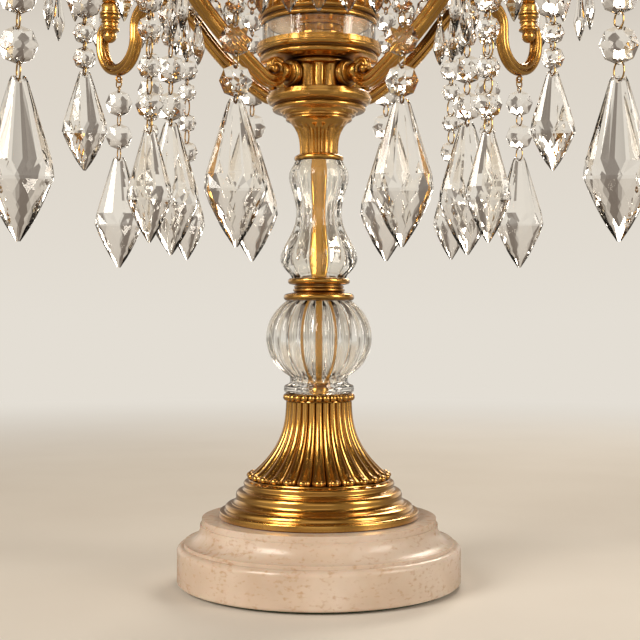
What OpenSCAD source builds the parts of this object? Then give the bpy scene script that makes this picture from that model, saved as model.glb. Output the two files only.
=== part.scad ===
// Crystal table lamp: a marble base, a brass and glass stem, four scroll arms and a centre
// light, dressed with cut crystal strands. Millimetres, Z up, origin under the stem axis.

/* [Base] */
// Diameter of the marble base
marble_d = 160; // [154:1:170]
// Height of the marble base without its felt
marble_h = 35.5; // [34:0.5:38]
// Diameter of the stepped brass foot plate
foot_d = 112.8; // [108:0.4:114]

/* [Stem] */
// Largest diameter of the melon glass
melon_d = 59.8; // [54:0.2:64]
// Largest diameter of the vase glass
vase_d = 43.6; // [41:0.2:46]
// Diameter of the hub that carries the arms
hub_d = 37.4; // [36.4:0.2:38]

/* [Arms] */
// Distance from the stem axis to each outer candle
arm_reach = 203; // [196:1:208]
// Diameter of the cord holes in the candle cups and the arm ends
nipple_d = 9.8; // [9:0.1:10]

/* [Candles] */
// Diameter of the candle sleeves
sleeve_d = 22; // [21:0.5:24]
// Height of the candle sleeves
sleeve_h = 70; // [60:1:80]
// Diameter of the glass drip dishes
dish_d = 84; // [78:1:88]

/* [Crystals] */
// Length of the large pendants
pendant_l = 76; // [66:1:80]
// Width of the large pendants
pendant_w = 33; // [26:1:34]
// Distance from the stem axis to the canopy hooks
canopy_hook_r = 84; // [82:1:86]

/* [Hidden] */
$fn = 48;

// Fits: around the rod, between loose pieces and around the bulbs' bases
fit = 0.15;
play = 0.3;
thread_fit = 0.08;

// Heights of the stack, each on top of the last
felt_t = 1.5;
felt_inset = 4;
marble_top = felt_t + marble_h;
foot_plate_h = 21.5;
fluted_z = marble_top + foot_plate_h;
fluted_h = 43.5;
bead_z = fluted_z + fluted_h;
bead_h = 5;
melon_z = bead_z + bead_h;
melon_h = 51.7;
collar_z = melon_z + melon_h;
collar_h = 13.1;
vase_z = collar_z + collar_h;
vase_h = 65.7;
neck_z = vase_z + vase_h;
neck_h = 4;
capital_z = neck_z + neck_h;
capital_h = 20.5;
saucer_z = capital_z + capital_h;
saucer_h = 14;
hub_z = saucer_z + saucer_h;
hub_h = 17.6;
gallery_z = hub_z + hub_h;
base_ring_h = 9.4;
gallery_glass_z = gallery_z + base_ring_h;
gallery_glass_h = 11;
top_ring_z = gallery_glass_z + gallery_glass_h;
top_ring_h = 7;
drum_z = top_ring_z + top_ring_h;
drum_h = 30;
canopy_z = drum_z + drum_h;
canopy_t = 6;
upper_glass_z = canopy_z + canopy_t;
upper_glass_h = 48;
upper_collar_z = upper_glass_z + upper_glass_h;
upper_collar_h = 10;
centre_cup_z = upper_collar_z + upper_collar_h;

// Rod, sleeve and what holds them under the base
rod_r = 5;
rod_bore_r = 3.4;
rod_hole_r = rod_r + fit;
sleeve_tube_r = 5.7;
recess_r = 20;
recess_top = felt_t + 13.5;
washer_r = 15;
washer_t = 1.8;
nut_af = 17;
nut_h = 6;
rod_end_z = 4;

// Cord inlet at the rear of the marble
cord_z = felt_t + 7;
cord_r = 3.6;
cord_hole_r = 4.2;
bushing_r = 5.2;
bushing_l = 14;
flange_r = 7;
flange_t = 2;

// Section of the arms: four reeds, each with two corners, between four grooves
reed_out = 4.4;
reed_spread = 18;
groove_out = 2.9;

// The arm's path in its own plane, from the eye of its scroll to the candle. Each row has the
// radius and turn of an arc, left turns positive, its steps and the share of the full section
// at its end. A radius of 0 is a straight, with its length in place of the turn.
dip_rho = 37.5;
dip_z = hub_z + 2.5;
dip_arcs = 3;
rise_r = 259;
rise_turns = [30, 48];
sweep_r = 11;
crest_r = 74;
limb_r = 12;
u_r = 19.5;
tip_r = 9;
fixed_reach = dip_rho + sweep_r * sin(rise_turns[0]) + limb_r - tip_r;
drawn_reach = rise_r * (sin(rise_turns[1]) - sin(rise_turns[0])) + crest_r * sin(rise_turns[1]) + 2 * u_r;
k = (arm_reach - fixed_reach) / drawn_reach;
first_share = 0.5;
arm_path = [
    [3.2, 120, 6, 0.62],
    [4.8, 135, 7, 0.85],
    [10, 45, 3, 1],
    [sweep_r, rise_turns[0], 2, 1],
    [rise_r * k, rise_turns[1] - rise_turns[0], 3, 1],
    [crest_r * k, -rise_turns[1], 5, 1],
    [limb_r, -90, 6, 1],
    [0, 5.9, 1, 1],
    [u_r * k, 180, 10, 1],
    [0, 4, 1, 1],
    [tip_r, 90, 5, 0.85]
];
arm_mid_z = hub_z + hub_h / 2;
hub_wall = 4.5;
pad_rho = 26;
pad_r = 4;
screw_r = 2;

// Where a step along the path leads: [distance out, height, heading]
function step_end(p, r, turn) =
    let (side = sign(turn), to_centre = p[2] + 90 * side, to_end = p[2] + turn - 90 * side)
    r == 0
    ? [p[0] + turn * cos(p[2]), p[1] + turn * sin(p[2]), p[2]]
    : [p[0] + r * (cos(to_centre) + cos(to_end)),
       p[1] + r * (sin(to_centre) + sin(to_end)), p[2] + turn];
function drawn_point(n) =
    n == 0
    ? [0, 0, -arm_path[0][1] - arm_path[1][1] - arm_path[2][1]]
    : step_end(drawn_point(n - 1), arm_path[n - 1][0], arm_path[n - 1][1]);
drawn_dip = drawn_point(dip_arcs);
function path_point(n) =
    let (p = drawn_point(n))
    [p[0] - drawn_dip[0] + dip_rho, p[1] - drawn_dip[1] + dip_z, p[2]];
function share_at(n) = n == 0 ? first_share : arm_path[n - 1][3];
arm_samples = [
    for (n = [0:len(arm_path) - 1])
    let (start = path_point(n), arc = arm_path[n], a = share_at(n), b = share_at(n + 1))
    for (i = [(n == 0 ? 0 : 1):arc[2]])
    [step_end(start, arc[0], arc[1] * i / arc[2]), a + (b - a) * i / arc[2]]
];
crest = path_point(6);
u_start = path_point(8);
u_bottom = [u_start[0] + u_r * k, u_start[1] - u_r * k];
arm_tip = path_point(len(arm_path));
cup_rho = arm_tip[0];
boss_top = arm_tip[1] + 6;
boss_bottom = arm_tip[1] - 8;
nipple_r = nipple_d / 2;
nipple_depth = 9;

// Candle pieces, measured from the seat of the cup
cup_h = 13;
cup_rim_r = 13.7;
dish_t = 2.4;
dish_rise = 7;
dish_rim_r = dish_d / 2;
dish_hole_r = dish_rim_r - 3;
dish_holes = 8;
sleeve_wall = 1.2;
sleeve_inner_r = sleeve_d / 2 - sleeve_wall;
socket_r = sleeve_inner_r - 0.3;
socket_wall = 1;
bulb_r = 16;
bulb_base_r = socket_r - socket_wall - thread_fit;
bulb_base_h = 20;
bulb_h = 68;
seat_z = cup_h + dish_t;

// Crystals: wire, links, beads and pendants
wire_r = 0.45;
eye_r = 2;
eye_wire_r = 0.7;
hook_r = 3;
link_r = 2.2;
link_gap = 3 * wire_r;
bead_hole_r = 1.1;
hole_inset = 1.7;
bead_edge_t = 1.8;
bead_mid_t = 5.4;

// Each strand: its beads as [diameter, radius of the link below it], then its pendant
canopy_beads = [[13, link_r], [13, link_r], [11, 3.7], [17, 3.7], [17, link_r]];
inner_beads = [[13, link_r], [14, link_r], [12, 5.5], [12, 4.5], [14, 4.5]];
crest_beads = [[13, 3.7], [13, 3.7], [17, link_r], [11, link_r], [11, link_r]];
outer_beads = [[18, 4], [18, 4.5]];
large_pendant = [pendant_l, pendant_w, 13];
middle_pendant = [pendant_l * 0.75, pendant_w * 0.7, 10];
small_pendant = [pendant_l * 0.63, pendant_w * 0.66, 9];
short_bead_d = 14;
drop_link_r = 3.4;
drop_size = [27, 12, 6];
dish_drop_size = [34, 12, 7];
canopy_strands = 6;
canopy_hooks = 36;
canopy_eye_z = canopy_z - 2.2;
inner_rho = crest[0] - 42 * k;
crest_rho = crest[0] - 4;
outer_rho = u_bottom[0];
eye_drop = eye_r + eye_wire_r + 0.8;
eye_stem_r = 0.8;
eye_stem_l = 3;

// Height of the arm's underside along its crest arc at a distance out
function crest_under_z(rho) =
    let (r = crest_r * k, lean = asin((crest[0] - rho) / r))
    crest[1] - r + r * cos(lean) - groove_out / cos(lean);
inner_eye_z = crest_under_z(inner_rho) - eye_drop;
crest_eye_z = crest_under_z(crest_rho) - eye_drop;
outer_eye_z = u_bottom[1] - groove_out - eye_drop;
arm_eye_places = [[inner_rho, inner_eye_z], [crest_rho, crest_eye_z], [outer_rho, outer_eye_z]];

// Directions in plan: the arms stand on the diagonals, and the crystals look to front and back
arm_turns = [225, 315, 45, 135];
front = 90;

function arm_turn(i) = arm_turns[i - 1];
function canopy_turn(i) = 360 / canopy_strands * i;
function holds_strand(hook) = hook % (canopy_hooks / canopy_strands) == 0;
function over_arm(turn) = min([for (a = arm_turns) abs(turn - a)]) < 360 / canopy_hooks;

// Colours
brass = "#c8973f";
marble = "#e9dccb";
clear = "#e6eef0";
steel = "#b8bcc0";

// Joins rings of points, each with the same count, and closes both ends to a point
module loft(rings, first, last) {
    n = len(rings[0]);
    top = (len(rings) - 1) * n;
    centres = len(rings) * n;
    walls = [for (r = [0:len(rings) - 2]) for (i = [0:n - 1])
        let (j = (i + 1) % n, a = r * n, b = a + n)
        each [[a + i, b + i, b + j], [a + i, b + j, a + j]]];
    caps = [for (i = [0:n - 1])
        let (j = (i + 1) % n)
        each [[centres, i, j], [centres + 1, top + j, top + i]]];
    polyhedron(concat([for (r = rings) each r], [first, last]), concat(walls, caps), convexity = 10);
}

// A ribbed or fluted turning: rows of [height, radius, rib depth], lobes round it
module ribbed(rows, lobes, steps) {
    n = lobes * steps;
    rings = [for (row = rows) [for (i = [0:n - 1])
        let (a = 360 * i / n, r = row[1] - row[2] * (1 - abs(cos(lobes * a / 2))))
        [r * cos(a), r * sin(a), row[0]]]];
    loft(rings, [0, 0, rows[0][0]], [0, 0, rows[len(rows) - 1][0]]);
}

// A cut crystal: rows of [height, half width, half thickness] between two points
module cut_crystal(rows, bottom, top, sides) {
    rings = [for (row = rows) [for (i = [0:sides - 1])
        let (a = 360 * (i + 0.5) / sides)
        [row[1] * cos(a), row[2] * sin(a), row[0]]]];
    loft(rings, [0, 0, bottom], [0, 0, top]);
}

// A wire ring whose centre line lies in the plane of Y and Z
module wire_ring(r) {
    rotate([0, 90, 0]) rotate_extrude() translate([r, 0]) circle(r = wire_r);
}

// An eye whose hole runs along Y
module eye() {
    rotate([90, 0, 0]) rotate_extrude() translate([eye_r, 0]) circle(r = eye_wire_r);
}

// An eight-sided bead hung by a hole in its top corner, which is the origin. Faces look along Y
module bead(d) {
    r = d / 2;
    translate([0, 0, hole_inset - r]) difference() {
        rotate([90, 22.5, 0]) cut_crystal(
            [[-bead_edge_t / 2, r, r], [bead_edge_t / 2, r, r]],
            -bead_mid_t / 2, bead_mid_t / 2, 8);
        for (s = [-1, 1]) translate([0, 0, s * (r - hole_inset)])
            rotate([90, 0, 0]) cylinder(r = bead_hole_r, h = 2 * bead_mid_t, center = true);
    }
}

// A pendant of [length, width, thickness] hung by a hole near its top, which is the origin
module pendant(size) {
    w = size[1] / 2;
    t = size[2] / 2;
    difference() {
        translate([0, 0, hole_inset + 0.4]) cut_crystal([
            [-size[0] * 0.88, w * 0.3, t * 0.4],
            [-size[0] * 0.6, w, t],
            [-size[0] * 0.28, w * 0.6, t * 0.72],
            [-0.8, w * 0.2 + 0.6, 1.5]
        ], -size[0], 0, 8);
        rotate([90, 0, 0]) cylinder(r = bead_hole_r, h = 2 * t, center = true);
    }
}

// A small almond drop of [length, width, thickness], hung in the same way
module small_drop(size) {
    difference() {
        translate([0, 0, hole_inset + 0.6]) cut_crystal([
            [-size[0] * 0.56, size[1] / 2, size[2] / 2],
            [-1, 2.4, 1.2]
        ], -size[0], 0, 6);
        rotate([90, 0, 0]) cylinder(r = bead_hole_r, h = size[2] * 2, center = true);
    }
}

// Depth of hole n of a strand under the first hole
function hole_z(beads, n) =
    n == 0 ? 0 : hole_z(beads, n - 1) - (beads[n - 1][0] - 2 * hole_inset) - 2 * beads[n - 1][1];

// Beads one under another, each on a link, and what hangs on the last link at the end
module beads_on_links(beads) {
    for (i = [0:len(beads) - 1]) translate([0, 0, hole_z(beads, i)]) {
        bead(beads[i][0]);
        translate([0, 0, 2 * hole_inset - beads[i][0] - beads[i][1]]) wire_ring(beads[i][1]);
    }
    translate([0, 0, hole_z(beads, len(beads))]) children();
}

// A strand hung at the origin in an eye whose hole runs along Y, its crystals turned by twist
module strand(beads, twist) {
    top_link_z = -2 * hook_r + link_gap;
    translate([0, 0, -hook_r]) wire_ring(hook_r);
    rotate([0, 0, twist]) {
        translate([0, 0, top_link_z - link_r]) wire_ring(link_r);
        translate([0, 0, top_link_z - 2 * link_r]) beads_on_links(beads) children();
    }
}

// Puts a strand's eye at a place in plan, with its hinge along the direction given
module hang(turn, rho, z, hinge_turn) {
    translate([rho * cos(turn), rho * sin(turn), z]) rotate([0, 0, hinge_turn - front]) children();
}

module felt_pad() {
    color("#4c5a45") difference() {
        cylinder(d = marble_d - 2 * felt_inset, h = felt_t);
        translate([0, 0, -1]) cylinder(r = recess_r, h = felt_t + 2);
    }
}

// Half section of the marble: straight rim, groove, hollow moulding, fillet and flat top
module marble_profile() {
    r = marble_d / 2;
    rim_top = marble_top - 15;
    cove_r = 9;
    step_r = r - 4 - cove_r;
    edge_r = 3;
    arris = 0.8;
    fillet_r = r - 4;
    top_h = 3.5;
    difference() {
        union() {
            translate([0, felt_t]) square([r - arris, rim_top - edge_r - felt_t]);
            translate([0, felt_t + arris]) square([r, rim_top - edge_r - felt_t - arris]);
            translate([0, felt_t + arris]) square([r - edge_r, rim_top - felt_t - arris]);
            translate([r - edge_r, rim_top - edge_r]) circle(r = edge_r);
            translate([0, rim_top - 1]) square([fillet_r, marble_top - rim_top - top_h + 1]);
            translate([0, rim_top - 1]) square([step_r - 1, marble_top - rim_top + 1]);
        }
        translate([fillet_r, rim_top + 1.8 + cove_r]) circle(r = cove_r);
        translate([step_r - 1, marble_top - top_h]) square([2 * cove_r, top_h + 1]);
    }
}

module marble_base() {
    color(marble) difference() {
        rotate_extrude($fn = 96) marble_profile();
        translate([0, 0, -1]) cylinder(r = rod_hole_r, h = marble_top + 2);
        translate([0, 0, -1]) cylinder(r = recess_r, h = recess_top + 1);
        translate([0, 0, cord_z]) rotate([-90, 0, 0]) cylinder(r = cord_hole_r, h = marble_d);
        translate([0, marble_d / 2 - bushing_l, cord_z])
            rotate([-90, 0, 0]) cylinder(r = bushing_r + fit, h = bushing_l + 1);
        translate([0, marble_d / 2 - flange_t, cord_z])
            rotate([-90, 0, 0]) cylinder(r = flange_r + play, h = flange_t + 1);
    }
}

module cord_bushing() {
    color(brass) difference() {
        union() {
            translate([0, marble_d / 2 - bushing_l + play, cord_z])
                rotate([-90, 0, 0]) cylinder(r = bushing_r, h = bushing_l - play);
            translate([0, marble_d / 2 - flange_t, cord_z])
                rotate([-90, 0, 0]) cylinder(r = flange_r, h = flange_t);
        }
        translate([0, marble_d / 2 - bushing_l - 1, cord_z])
            rotate([-90, 0, 0]) cylinder(r = cord_r, h = bushing_l + 3);
    }
}

// A hexagon nut with its washer in one piece
module base_flange_nut() {
    color(steel) translate([0, 0, recess_top - washer_t]) difference() {
        union() {
            cylinder(r = washer_r, h = washer_t);
            translate([0, 0, -nut_h]) cylinder(d = nut_af / cos(30), h = nut_h + 1, $fn = 6);
        }
        translate([0, 0, -nut_h - 1]) cylinder(r = rod_r + fit / 3, h = nut_h + washer_t + 2);
    }
}

module threaded_rod() {
    color(steel) translate([0, 0, rod_end_z]) difference() {
        cylinder(r = rod_r, h = centre_cup_z - nipple_depth - rod_end_z);
        translate([0, 0, -1]) cylinder(r = rod_bore_r, h = centre_cup_z);
    }
}

// A turned piece with a hole for the rod or its sleeve
module turned(z, hole_r, h) {
    translate([0, 0, z]) difference() {
        rotate_extrude($fn = 96) children();
        translate([0, 0, -1]) cylinder(r = hole_r, h = h + 2);
    }
}

// A round moulding: a band that ends in a half round of its own height
module band(r, z, h) {
    translate([0, z]) square([r - h / 2, h]);
    translate([r - h / 2, z + h / 2]) circle(d = h);
}

module foot_plate() {
    r = foot_d / 2;
    color(brass) turned(marble_top, rod_hole_r, foot_plate_h) {
        square([r - 0.6, 5]);
        translate([0, 0.6]) square([r, 3.8]);
        translate([0, 5]) square([r - 6, 1]);
        band(r - 4.2, 5.6, 4);
        translate([0, 9.2]) square([r - 10, 1.2]);
        band(r - 9.4, 10, 5.6);
        translate([0, 15.6]) square([r - 15.5, 2.4]);
        band(r - 13.8, 17.8, 3.4);
        translate([0, 21.2]) square([r - 15.5, foot_plate_h - 21.2]);
    }
}

// The cone widens towards the plate along a hollow curve, and its ribs with it
module fluted_foot() {
    neck_r = 18.6;
    flare = foot_d / 2 - 15.5 - neck_r;
    rows = 9;
    cone = [for (n = [1:rows])
        let (t = n / rows)
        [fluted_h * t, neck_r + flare * pow(1 - t, 2.6) + 1.2 * (1 - t), 2.6 - 1.5 * t]];
    color(brass) translate([0, 0, fluted_z]) difference() {
        ribbed(concat([[0, neck_r + flare - 0.4, 3]], [[1.6, neck_r + flare * 0.97, 3.4]], cone), 24, 4);
        translate([0, 0, -1]) cylinder(r = rod_hole_r, h = fluted_h + 2);
    }
}

module bead_ring() {
    ring_r = 18.3;
    color(brass) translate([0, 0, bead_z]) difference() {
        union() {
            cylinder(r = ring_r - 0.6, h = bead_h);
            for (a = [0:15:345]) rotate([0, 0, a])
                translate([ring_r, 0, bead_h / 2]) sphere(r = 2.2, $fn = 24);
        }
        translate([0, 0, -1]) cylinder(r = rod_hole_r, h = bead_h + 2);
    }
}

// Radius of the melon glass over its ribs at a height above its foot
function melon_r(z) = melon_d / 2 * sqrt(1 - pow((z - 31) / 26.4, 2));

module melon_glass() {
    ball_z = 9;
    rows = 9;
    rib_depth = 2.4;
    wall = 6.5;
    levels = [for (n = [0:rows]) ball_z + (melon_h - ball_z) * n / rows];
    ball = [for (z = levels) [z, melon_r(z), rib_depth * melon_r(z) / (melon_d / 2)]];
    inner = [for (z = levels) [melon_r(z) - wall, z]];
    color(clear) translate([0, 0, melon_z]) difference() {
        ribbed(concat([[0, 19, 0], [1.2, 19.8, 0], [4, 19.8, 0], [5, 16.4, 0]], ball), 20, 4);
        rotate_extrude() polygon(concat([[0, -1], [9, -1]], inner, [[9, melon_h + 1], [0, melon_h + 1]]));
    }
}

module double_collar() {
    color(brass) turned(collar_z, sleeve_tube_r + fit, collar_h) {
        band(20, 0, 4.6);
        translate([0, 4]) square([13.4, 6]);
        translate([13.2, 7]) circle(r = 1.5);
        band(17.6, 9.3, collar_h - 9.3);
    }
}

// Rows of [height, radius] of the vase glass, for its full height
vase_rows = [[0, 15.3], [3, 17.4], [10, 21.8], [16, 20.6], [24, 16.2], [31, 13.4], [35.7, 12.8],
    [42, 13.3], [50, 15.4], [57, 17], [61.5, 15.8], [vase_h, 13.6]];

// A panelled glass vase of the rows, scaled, with a smooth bore
module glass_vase(wide, tall) {
    wall = 4.2;
    rows = [for (p = vase_rows) [p[0] * tall, p[1] * wide, 0.9]];
    inner = [for (p = vase_rows) [p[1] * wide - wall, p[0] * tall]];
    h = vase_h * tall;
    difference() {
        ribbed(rows, 12, 3);
        rotate_extrude() polygon(concat([[0, -1], [inner[0][0], -1]], inner,
            [[inner[len(inner) - 1][0], h + 1], [0, h + 1]]));
    }
}

module vase_glass() {
    color(clear) translate([0, 0, vase_z]) glass_vase(vase_d / 43.6, 1);
}

module rod_sleeve() {
    color(brass) translate([0, 0, melon_z]) difference() {
        cylinder(r = sleeve_tube_r, h = neck_z - melon_z);
        translate([0, 0, -1]) cylinder(r = rod_hole_r, h = neck_z);
    }
}

module neck_ring() {
    color(brass) turned(neck_z, rod_hole_r, neck_h) band(14, 0, neck_h);
}

module trumpet_capital() {
    rows = [for (n = [0:6])
        let (t = n / 6)
        [(capital_h - 1.4) * t, 11.3 + 6.6 * pow(t, 3), 0.5 + 0.9 * t]];
    color(brass) translate([0, 0, capital_z]) difference() {
        ribbed(concat(rows, [[capital_h, 18.7, 0]]), 18, 3);
        translate([0, 0, -1]) cylinder(r = rod_hole_r, h = capital_h + 2);
    }
}

module saucer_disc() {
    color(brass) turned(saucer_z, rod_hole_r, saucer_h) {
        square([14, 4.2]);
        band(26, 4, 4);
        translate([0, 7.6]) square([23.5, 1]);
        band(29.5, 8.2, saucer_h - 8.2);
    }
}

module arm_hub() {
    r = hub_d / 2;
    color(brass) translate([0, 0, hub_z]) difference() {
        cylinder(r = r, h = hub_h);
        translate([0, 0, 3]) cylinder(r = r - hub_wall, h = hub_h);
        translate([0, 0, -1]) cylinder(r = rod_hole_r, h = 5);
        for (a = [0:30:330]) rotate([0, 0, a])
            translate([r + 0.9, 0, 2]) cylinder(r = 2.3, h = hub_h - 4);
        for (i = [1:4]) rotate([0, 0, arm_turn(i)]) translate([0, 0, hub_h / 2])
            rotate([0, 90, 0]) cylinder(r = screw_r + fit, h = r + 1);
    }
}

module arm_screws() {
    head_r = 3.4;
    head_at = sqrt(pow(hub_d / 2 - hub_wall, 2) - pow(head_r, 2));
    for (i = [1:4]) rotate([0, 0, arm_turn(i)]) translate([head_at, 0, arm_mid_z])
        color(steel) rotate([0, 90, 0]) {
            cylinder(r = screw_r, h = pad_rho + 3.5 - head_at);
            translate([0, 0, -2.5]) cylinder(r = head_r, h = 2.5);
        }
}

module gallery_base_ring() {
    color(brass) turned(gallery_z, rod_hole_r, base_ring_h) {
        band(33.5, 0, 3.4);
        translate([0, 3.2]) square([33, 1]);
        band(35.7, 4, base_ring_h - 4);
    }
}

module gallery_glass() {
    color(clear) translate([0, 0, gallery_glass_z]) difference() {
        cylinder(r = 32, h = gallery_glass_h);
        translate([0, 0, -1]) cylinder(r = 29.2, h = gallery_glass_h + 2);
    }
}

module gallery_core() {
    color(brass) translate([0, 0, gallery_glass_z]) difference() {
        cylinder(r = 9.6, h = gallery_glass_h);
        translate([0, 0, -1]) cylinder(r = rod_hole_r, h = gallery_glass_h + 2);
        for (a = [0:30:330]) rotate([0, 0, a])
            translate([10.3, 0, 1]) cylinder(r = 1.6, h = gallery_glass_h - 2);
    }
}

module gallery_top_ring() {
    color(brass) turned(top_ring_z, rod_hole_r, top_ring_h) {
        band(33, 0, 3);
        translate([0, 2.8]) square([31, 1]);
        band(34.5, 3.4, top_ring_h - 3.4);
    }
}

module canopy_drum() {
    color(brass) translate([0, 0, drum_z]) difference() {
        cylinder(r = 29.5, h = drum_h);
        translate([0, 0, 3]) cylinder(r = 26, h = drum_h);
        translate([0, 0, -1]) cylinder(r = rod_hole_r, h = 5);
        for (a = [0:20:340]) rotate([0, 0, a])
            translate([31, 0, 3]) cylinder(r = 3, h = drum_h - 6);
    }
}

// The canopy dish carries one eye under its rim for each hook
module canopy() {
    rim_r = canopy_hook_r + 5;
    color(brass) {
        turned(canopy_z, rod_hole_r, canopy_t) {
            square([32, canopy_t]);
            square([rim_r - 2, 2.6]);
            translate([rim_r - 2.6, 1.9]) circle(r = 2.6);
        }
        for (i = [0:canopy_hooks - 1]) {
            turn = 360 / canopy_hooks * i;
            hang(turn, canopy_hook_r, canopy_eye_z, holds_strand(i) ? turn + 90 : turn) eye();
        }
    }
}

module upper_glass() {
    color(clear) translate([0, 0, upper_glass_z])
        glass_vase(0.9, upper_glass_h / vase_h);
}

module upper_collar() {
    color(brass) turned(upper_collar_z, rod_hole_r, upper_collar_h) {
        band(13.6, 0, 4);
        translate([0, 3.6]) square([7.6, upper_collar_h - 3.6]);
    }
}

// The section of an arm at a sample of its path
function arm_ring(sample) =
    let (p = sample[0], h = p[2])
    [for (q = [0:3]) for (c = [[0, groove_out], [45 - reed_spread, reed_out], [45 + reed_spread, reed_out]])
        let (a = 90 * q + c[0], x = c[1] * sample[1] * cos(a), y = c[1] * sample[1] * sin(a))
        [p[0] - x * sin(h), -y, p[1] + x * cos(h)]];
function on_path(sample) = [sample[0][0], 0, sample[0][1]];

// One arm along +X: reeded scroll with a pad at the hub and a socket boss at the candle
module arm_body() {
    last = len(arm_samples) - 1;
    difference() {
        union() {
            loft([for (s = arm_samples) arm_ring(s)], on_path(arm_samples[0]), on_path(arm_samples[last]));
            translate([pad_rho, 0, arm_mid_z]) rotate([0, 90, 0]) cylinder(r = pad_r, h = 5);
            translate([cup_rho, 0, boss_bottom]) cylinder(r = 7, h = boss_top - boss_bottom);
            translate([cup_rho, 0, boss_bottom]) sphere(r = 4.5);
        }
        translate([pad_rho - 1, 0, arm_mid_z]) rotate([0, 90, 0]) cylinder(r = screw_r + fit / 3, h = 5);
        translate([cup_rho, 0, boss_top - nipple_depth])
            cylinder(r = nipple_r + fit / 3, h = nipple_depth + 1);
        for (e = arm_eye_places) translate([e[0], 0, e[1]])
            cylinder(r = eye_stem_r + fit / 3, h = eye_drop + eye_stem_l);
    }
}

// Turned cushions between the hub and the arms
module hub_bosses() {
    l = pad_rho - hub_d / 2;
    for (i = [1:4]) color(brass) rotate([0, 0, arm_turn(i)]) difference() {
        translate([hub_d / 2, 0, arm_mid_z]) rotate([0, 90, 0]) rotate_extrude() {
            translate([0, -3]) square([5.6, l + 3]);
            translate([0, l / 2]) square([5.6, 1]);
            translate([5, l / 2]) circle(r = 2.6);
        }
        translate([0, 0, arm_mid_z]) cylinder(r = hub_d / 2 + fit / 3, h = 4 * pad_r, center = true);
        translate([0, 0, arm_mid_z]) rotate([0, 90, 0]) cylinder(r = screw_r + fit, h = pad_rho + 1);
    }
}

// Screw eyes under the arms that carry the strands
module arm_eyes() {
    for (i = [1:4]) color(brass) rotate([0, 0, arm_turn(i)]) for (e = arm_eye_places)
        translate([e[0], 0, e[1]]) {
            rotate([0, 0, -90]) eye();
            translate([0, 0, eye_r]) cylinder(r = eye_stem_r, h = eye_drop - eye_r + eye_stem_l - 0.2);
        }
}

module arm(i) {
    color(brass) rotate([0, 0, arm_turn(i)]) arm_body();
}

// Places the same piece on all four arms and on the stem
module at_candles() {
    for (i = [1:4]) rotate([0, 0, arm_turn(i)]) translate([cup_rho, 0, boss_top]) children();
    translate([0, 0, centre_cup_z]) children();
}

module candle_cups() {
    color(brass) at_candles() difference() {
        rotate_extrude() {
            square([7, 3]);
            translate([0, 2.6]) square([6.2, 5]);
            polygon([[0, 7], [6.2, 7], [11.6, 9.6], [cup_rim_r, 11], [cup_rim_r, cup_h], [0, cup_h]]);
        }
        translate([0, 0, -1]) cylinder(r = nipple_r + fit, h = cup_h + 2);
    }
}

// A holder inside each candle sleeve, with the nipple that clamps dish and cup
module lamp_sockets() {
    socket_h = sleeve_h - 4;
    color("#d9cfb8") at_candles() difference() {
        union() {
            translate([0, 0, 0.4 - nipple_depth]) cylinder(r = nipple_r, h = seat_z + nipple_depth);
            translate([0, 0, seat_z]) cylinder(r = socket_r, h = socket_h);
        }
        translate([0, 0, -nipple_depth - 1]) cylinder(r = nipple_r - 1.4, h = seat_z + nipple_depth + 4);
        translate([0, 0, seat_z + 3]) cylinder(r = socket_r - socket_wall, h = socket_h);
    }
}

module candle_sleeves() {
    color("#f3ead6") at_candles() translate([0, 0, seat_z]) difference() {
        cylinder(r = sleeve_d / 2, h = sleeve_h);
        translate([0, 0, -1]) cylinder(r = sleeve_inner_r, h = sleeve_h + 2);
    }
}

module drip_dishes() {
    color(clear) at_candles() difference() {
        rotate_extrude($fn = 96) polygon([
            [0, cup_h], [16, cup_h], [dish_rim_r - 8, cup_h + dish_rise - 1.6],
            [dish_rim_r, cup_h + dish_rise], [dish_rim_r, cup_h + dish_rise + dish_t],
            [dish_rim_r - 8, cup_h + dish_rise + dish_t - 1.2], [15.4, seat_z], [0, seat_z]]);
        translate([0, 0, cup_h - 1]) cylinder(r = nipple_r + fit, h = dish_t + 2);
        for (a = [0:dish_holes - 1]) rotate([0, 0, 360 / dish_holes * (a + 0.5)])
            translate([dish_hole_r, 0, cup_h]) cylinder(r = 1.5, h = dish_rise + dish_t + 1);
    }
}

// An almond drop on a ring through each rim hole of the dishes
module dish_drops() {
    ring_r = 3.4;
    ring_z = cup_h + dish_rise + dish_t / 2;
    color(clear) at_candles()
        for (a = [0:dish_holes - 1]) rotate([0, 0, 360 / dish_holes * (a + 0.5)])
            translate([dish_hole_r + 2.9, 0, ring_z]) rotate([0, 0, 90]) {
                wire_ring(ring_r);
                translate([0, 0, -ring_r]) small_drop(dish_drop_size);
            }
}

// A bead on each canopy hook that carries no long strand, and a short drop under it, apart from
// the hooks over the arms, where a drop would touch the arm
module canopy_drops() {
    color(clear) for (i = [0:canopy_hooks - 1]) if (!holds_strand(i)) {
        turn = 360 / canopy_hooks * i;
        hang(turn, canopy_hook_r, canopy_eye_z, turn) {
            translate([0, 0, -hook_r]) wire_ring(hook_r);
            translate([0, 0, -2 * hook_r]) {
                if (over_arm(turn)) bead(short_bead_d);
                else beads_on_links([[short_bead_d, drop_link_r]]) small_drop(drop_size);
            }
        }
    }
}

// A flame bulb with its metal base in the socket
module bulb(i) {
    seat = i < 5 ? [cup_rho, boss_top] : [0, centre_cup_z];
    top = seat_z + sleeve_h;
    color("#f6efe0") rotate([0, 0, i < 5 ? arm_turn(i) : 0]) translate([seat[0], 0, seat[1] + top]) {
        translate([0, 0, -bulb_base_h - 1]) cylinder(r = bulb_base_r, h = bulb_base_h + 2);
        rotate_extrude() polygon([
            [0, 0.6], [bulb_base_r, 0.6], [bulb_r * 0.82, 9], [bulb_r, 20], [bulb_r * 0.93, 31],
            [bulb_r * 0.7, 43], [bulb_r * 0.4, 54], [1.6, bulb_h - 2], [0, bulb_h]]);
    }
}

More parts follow.
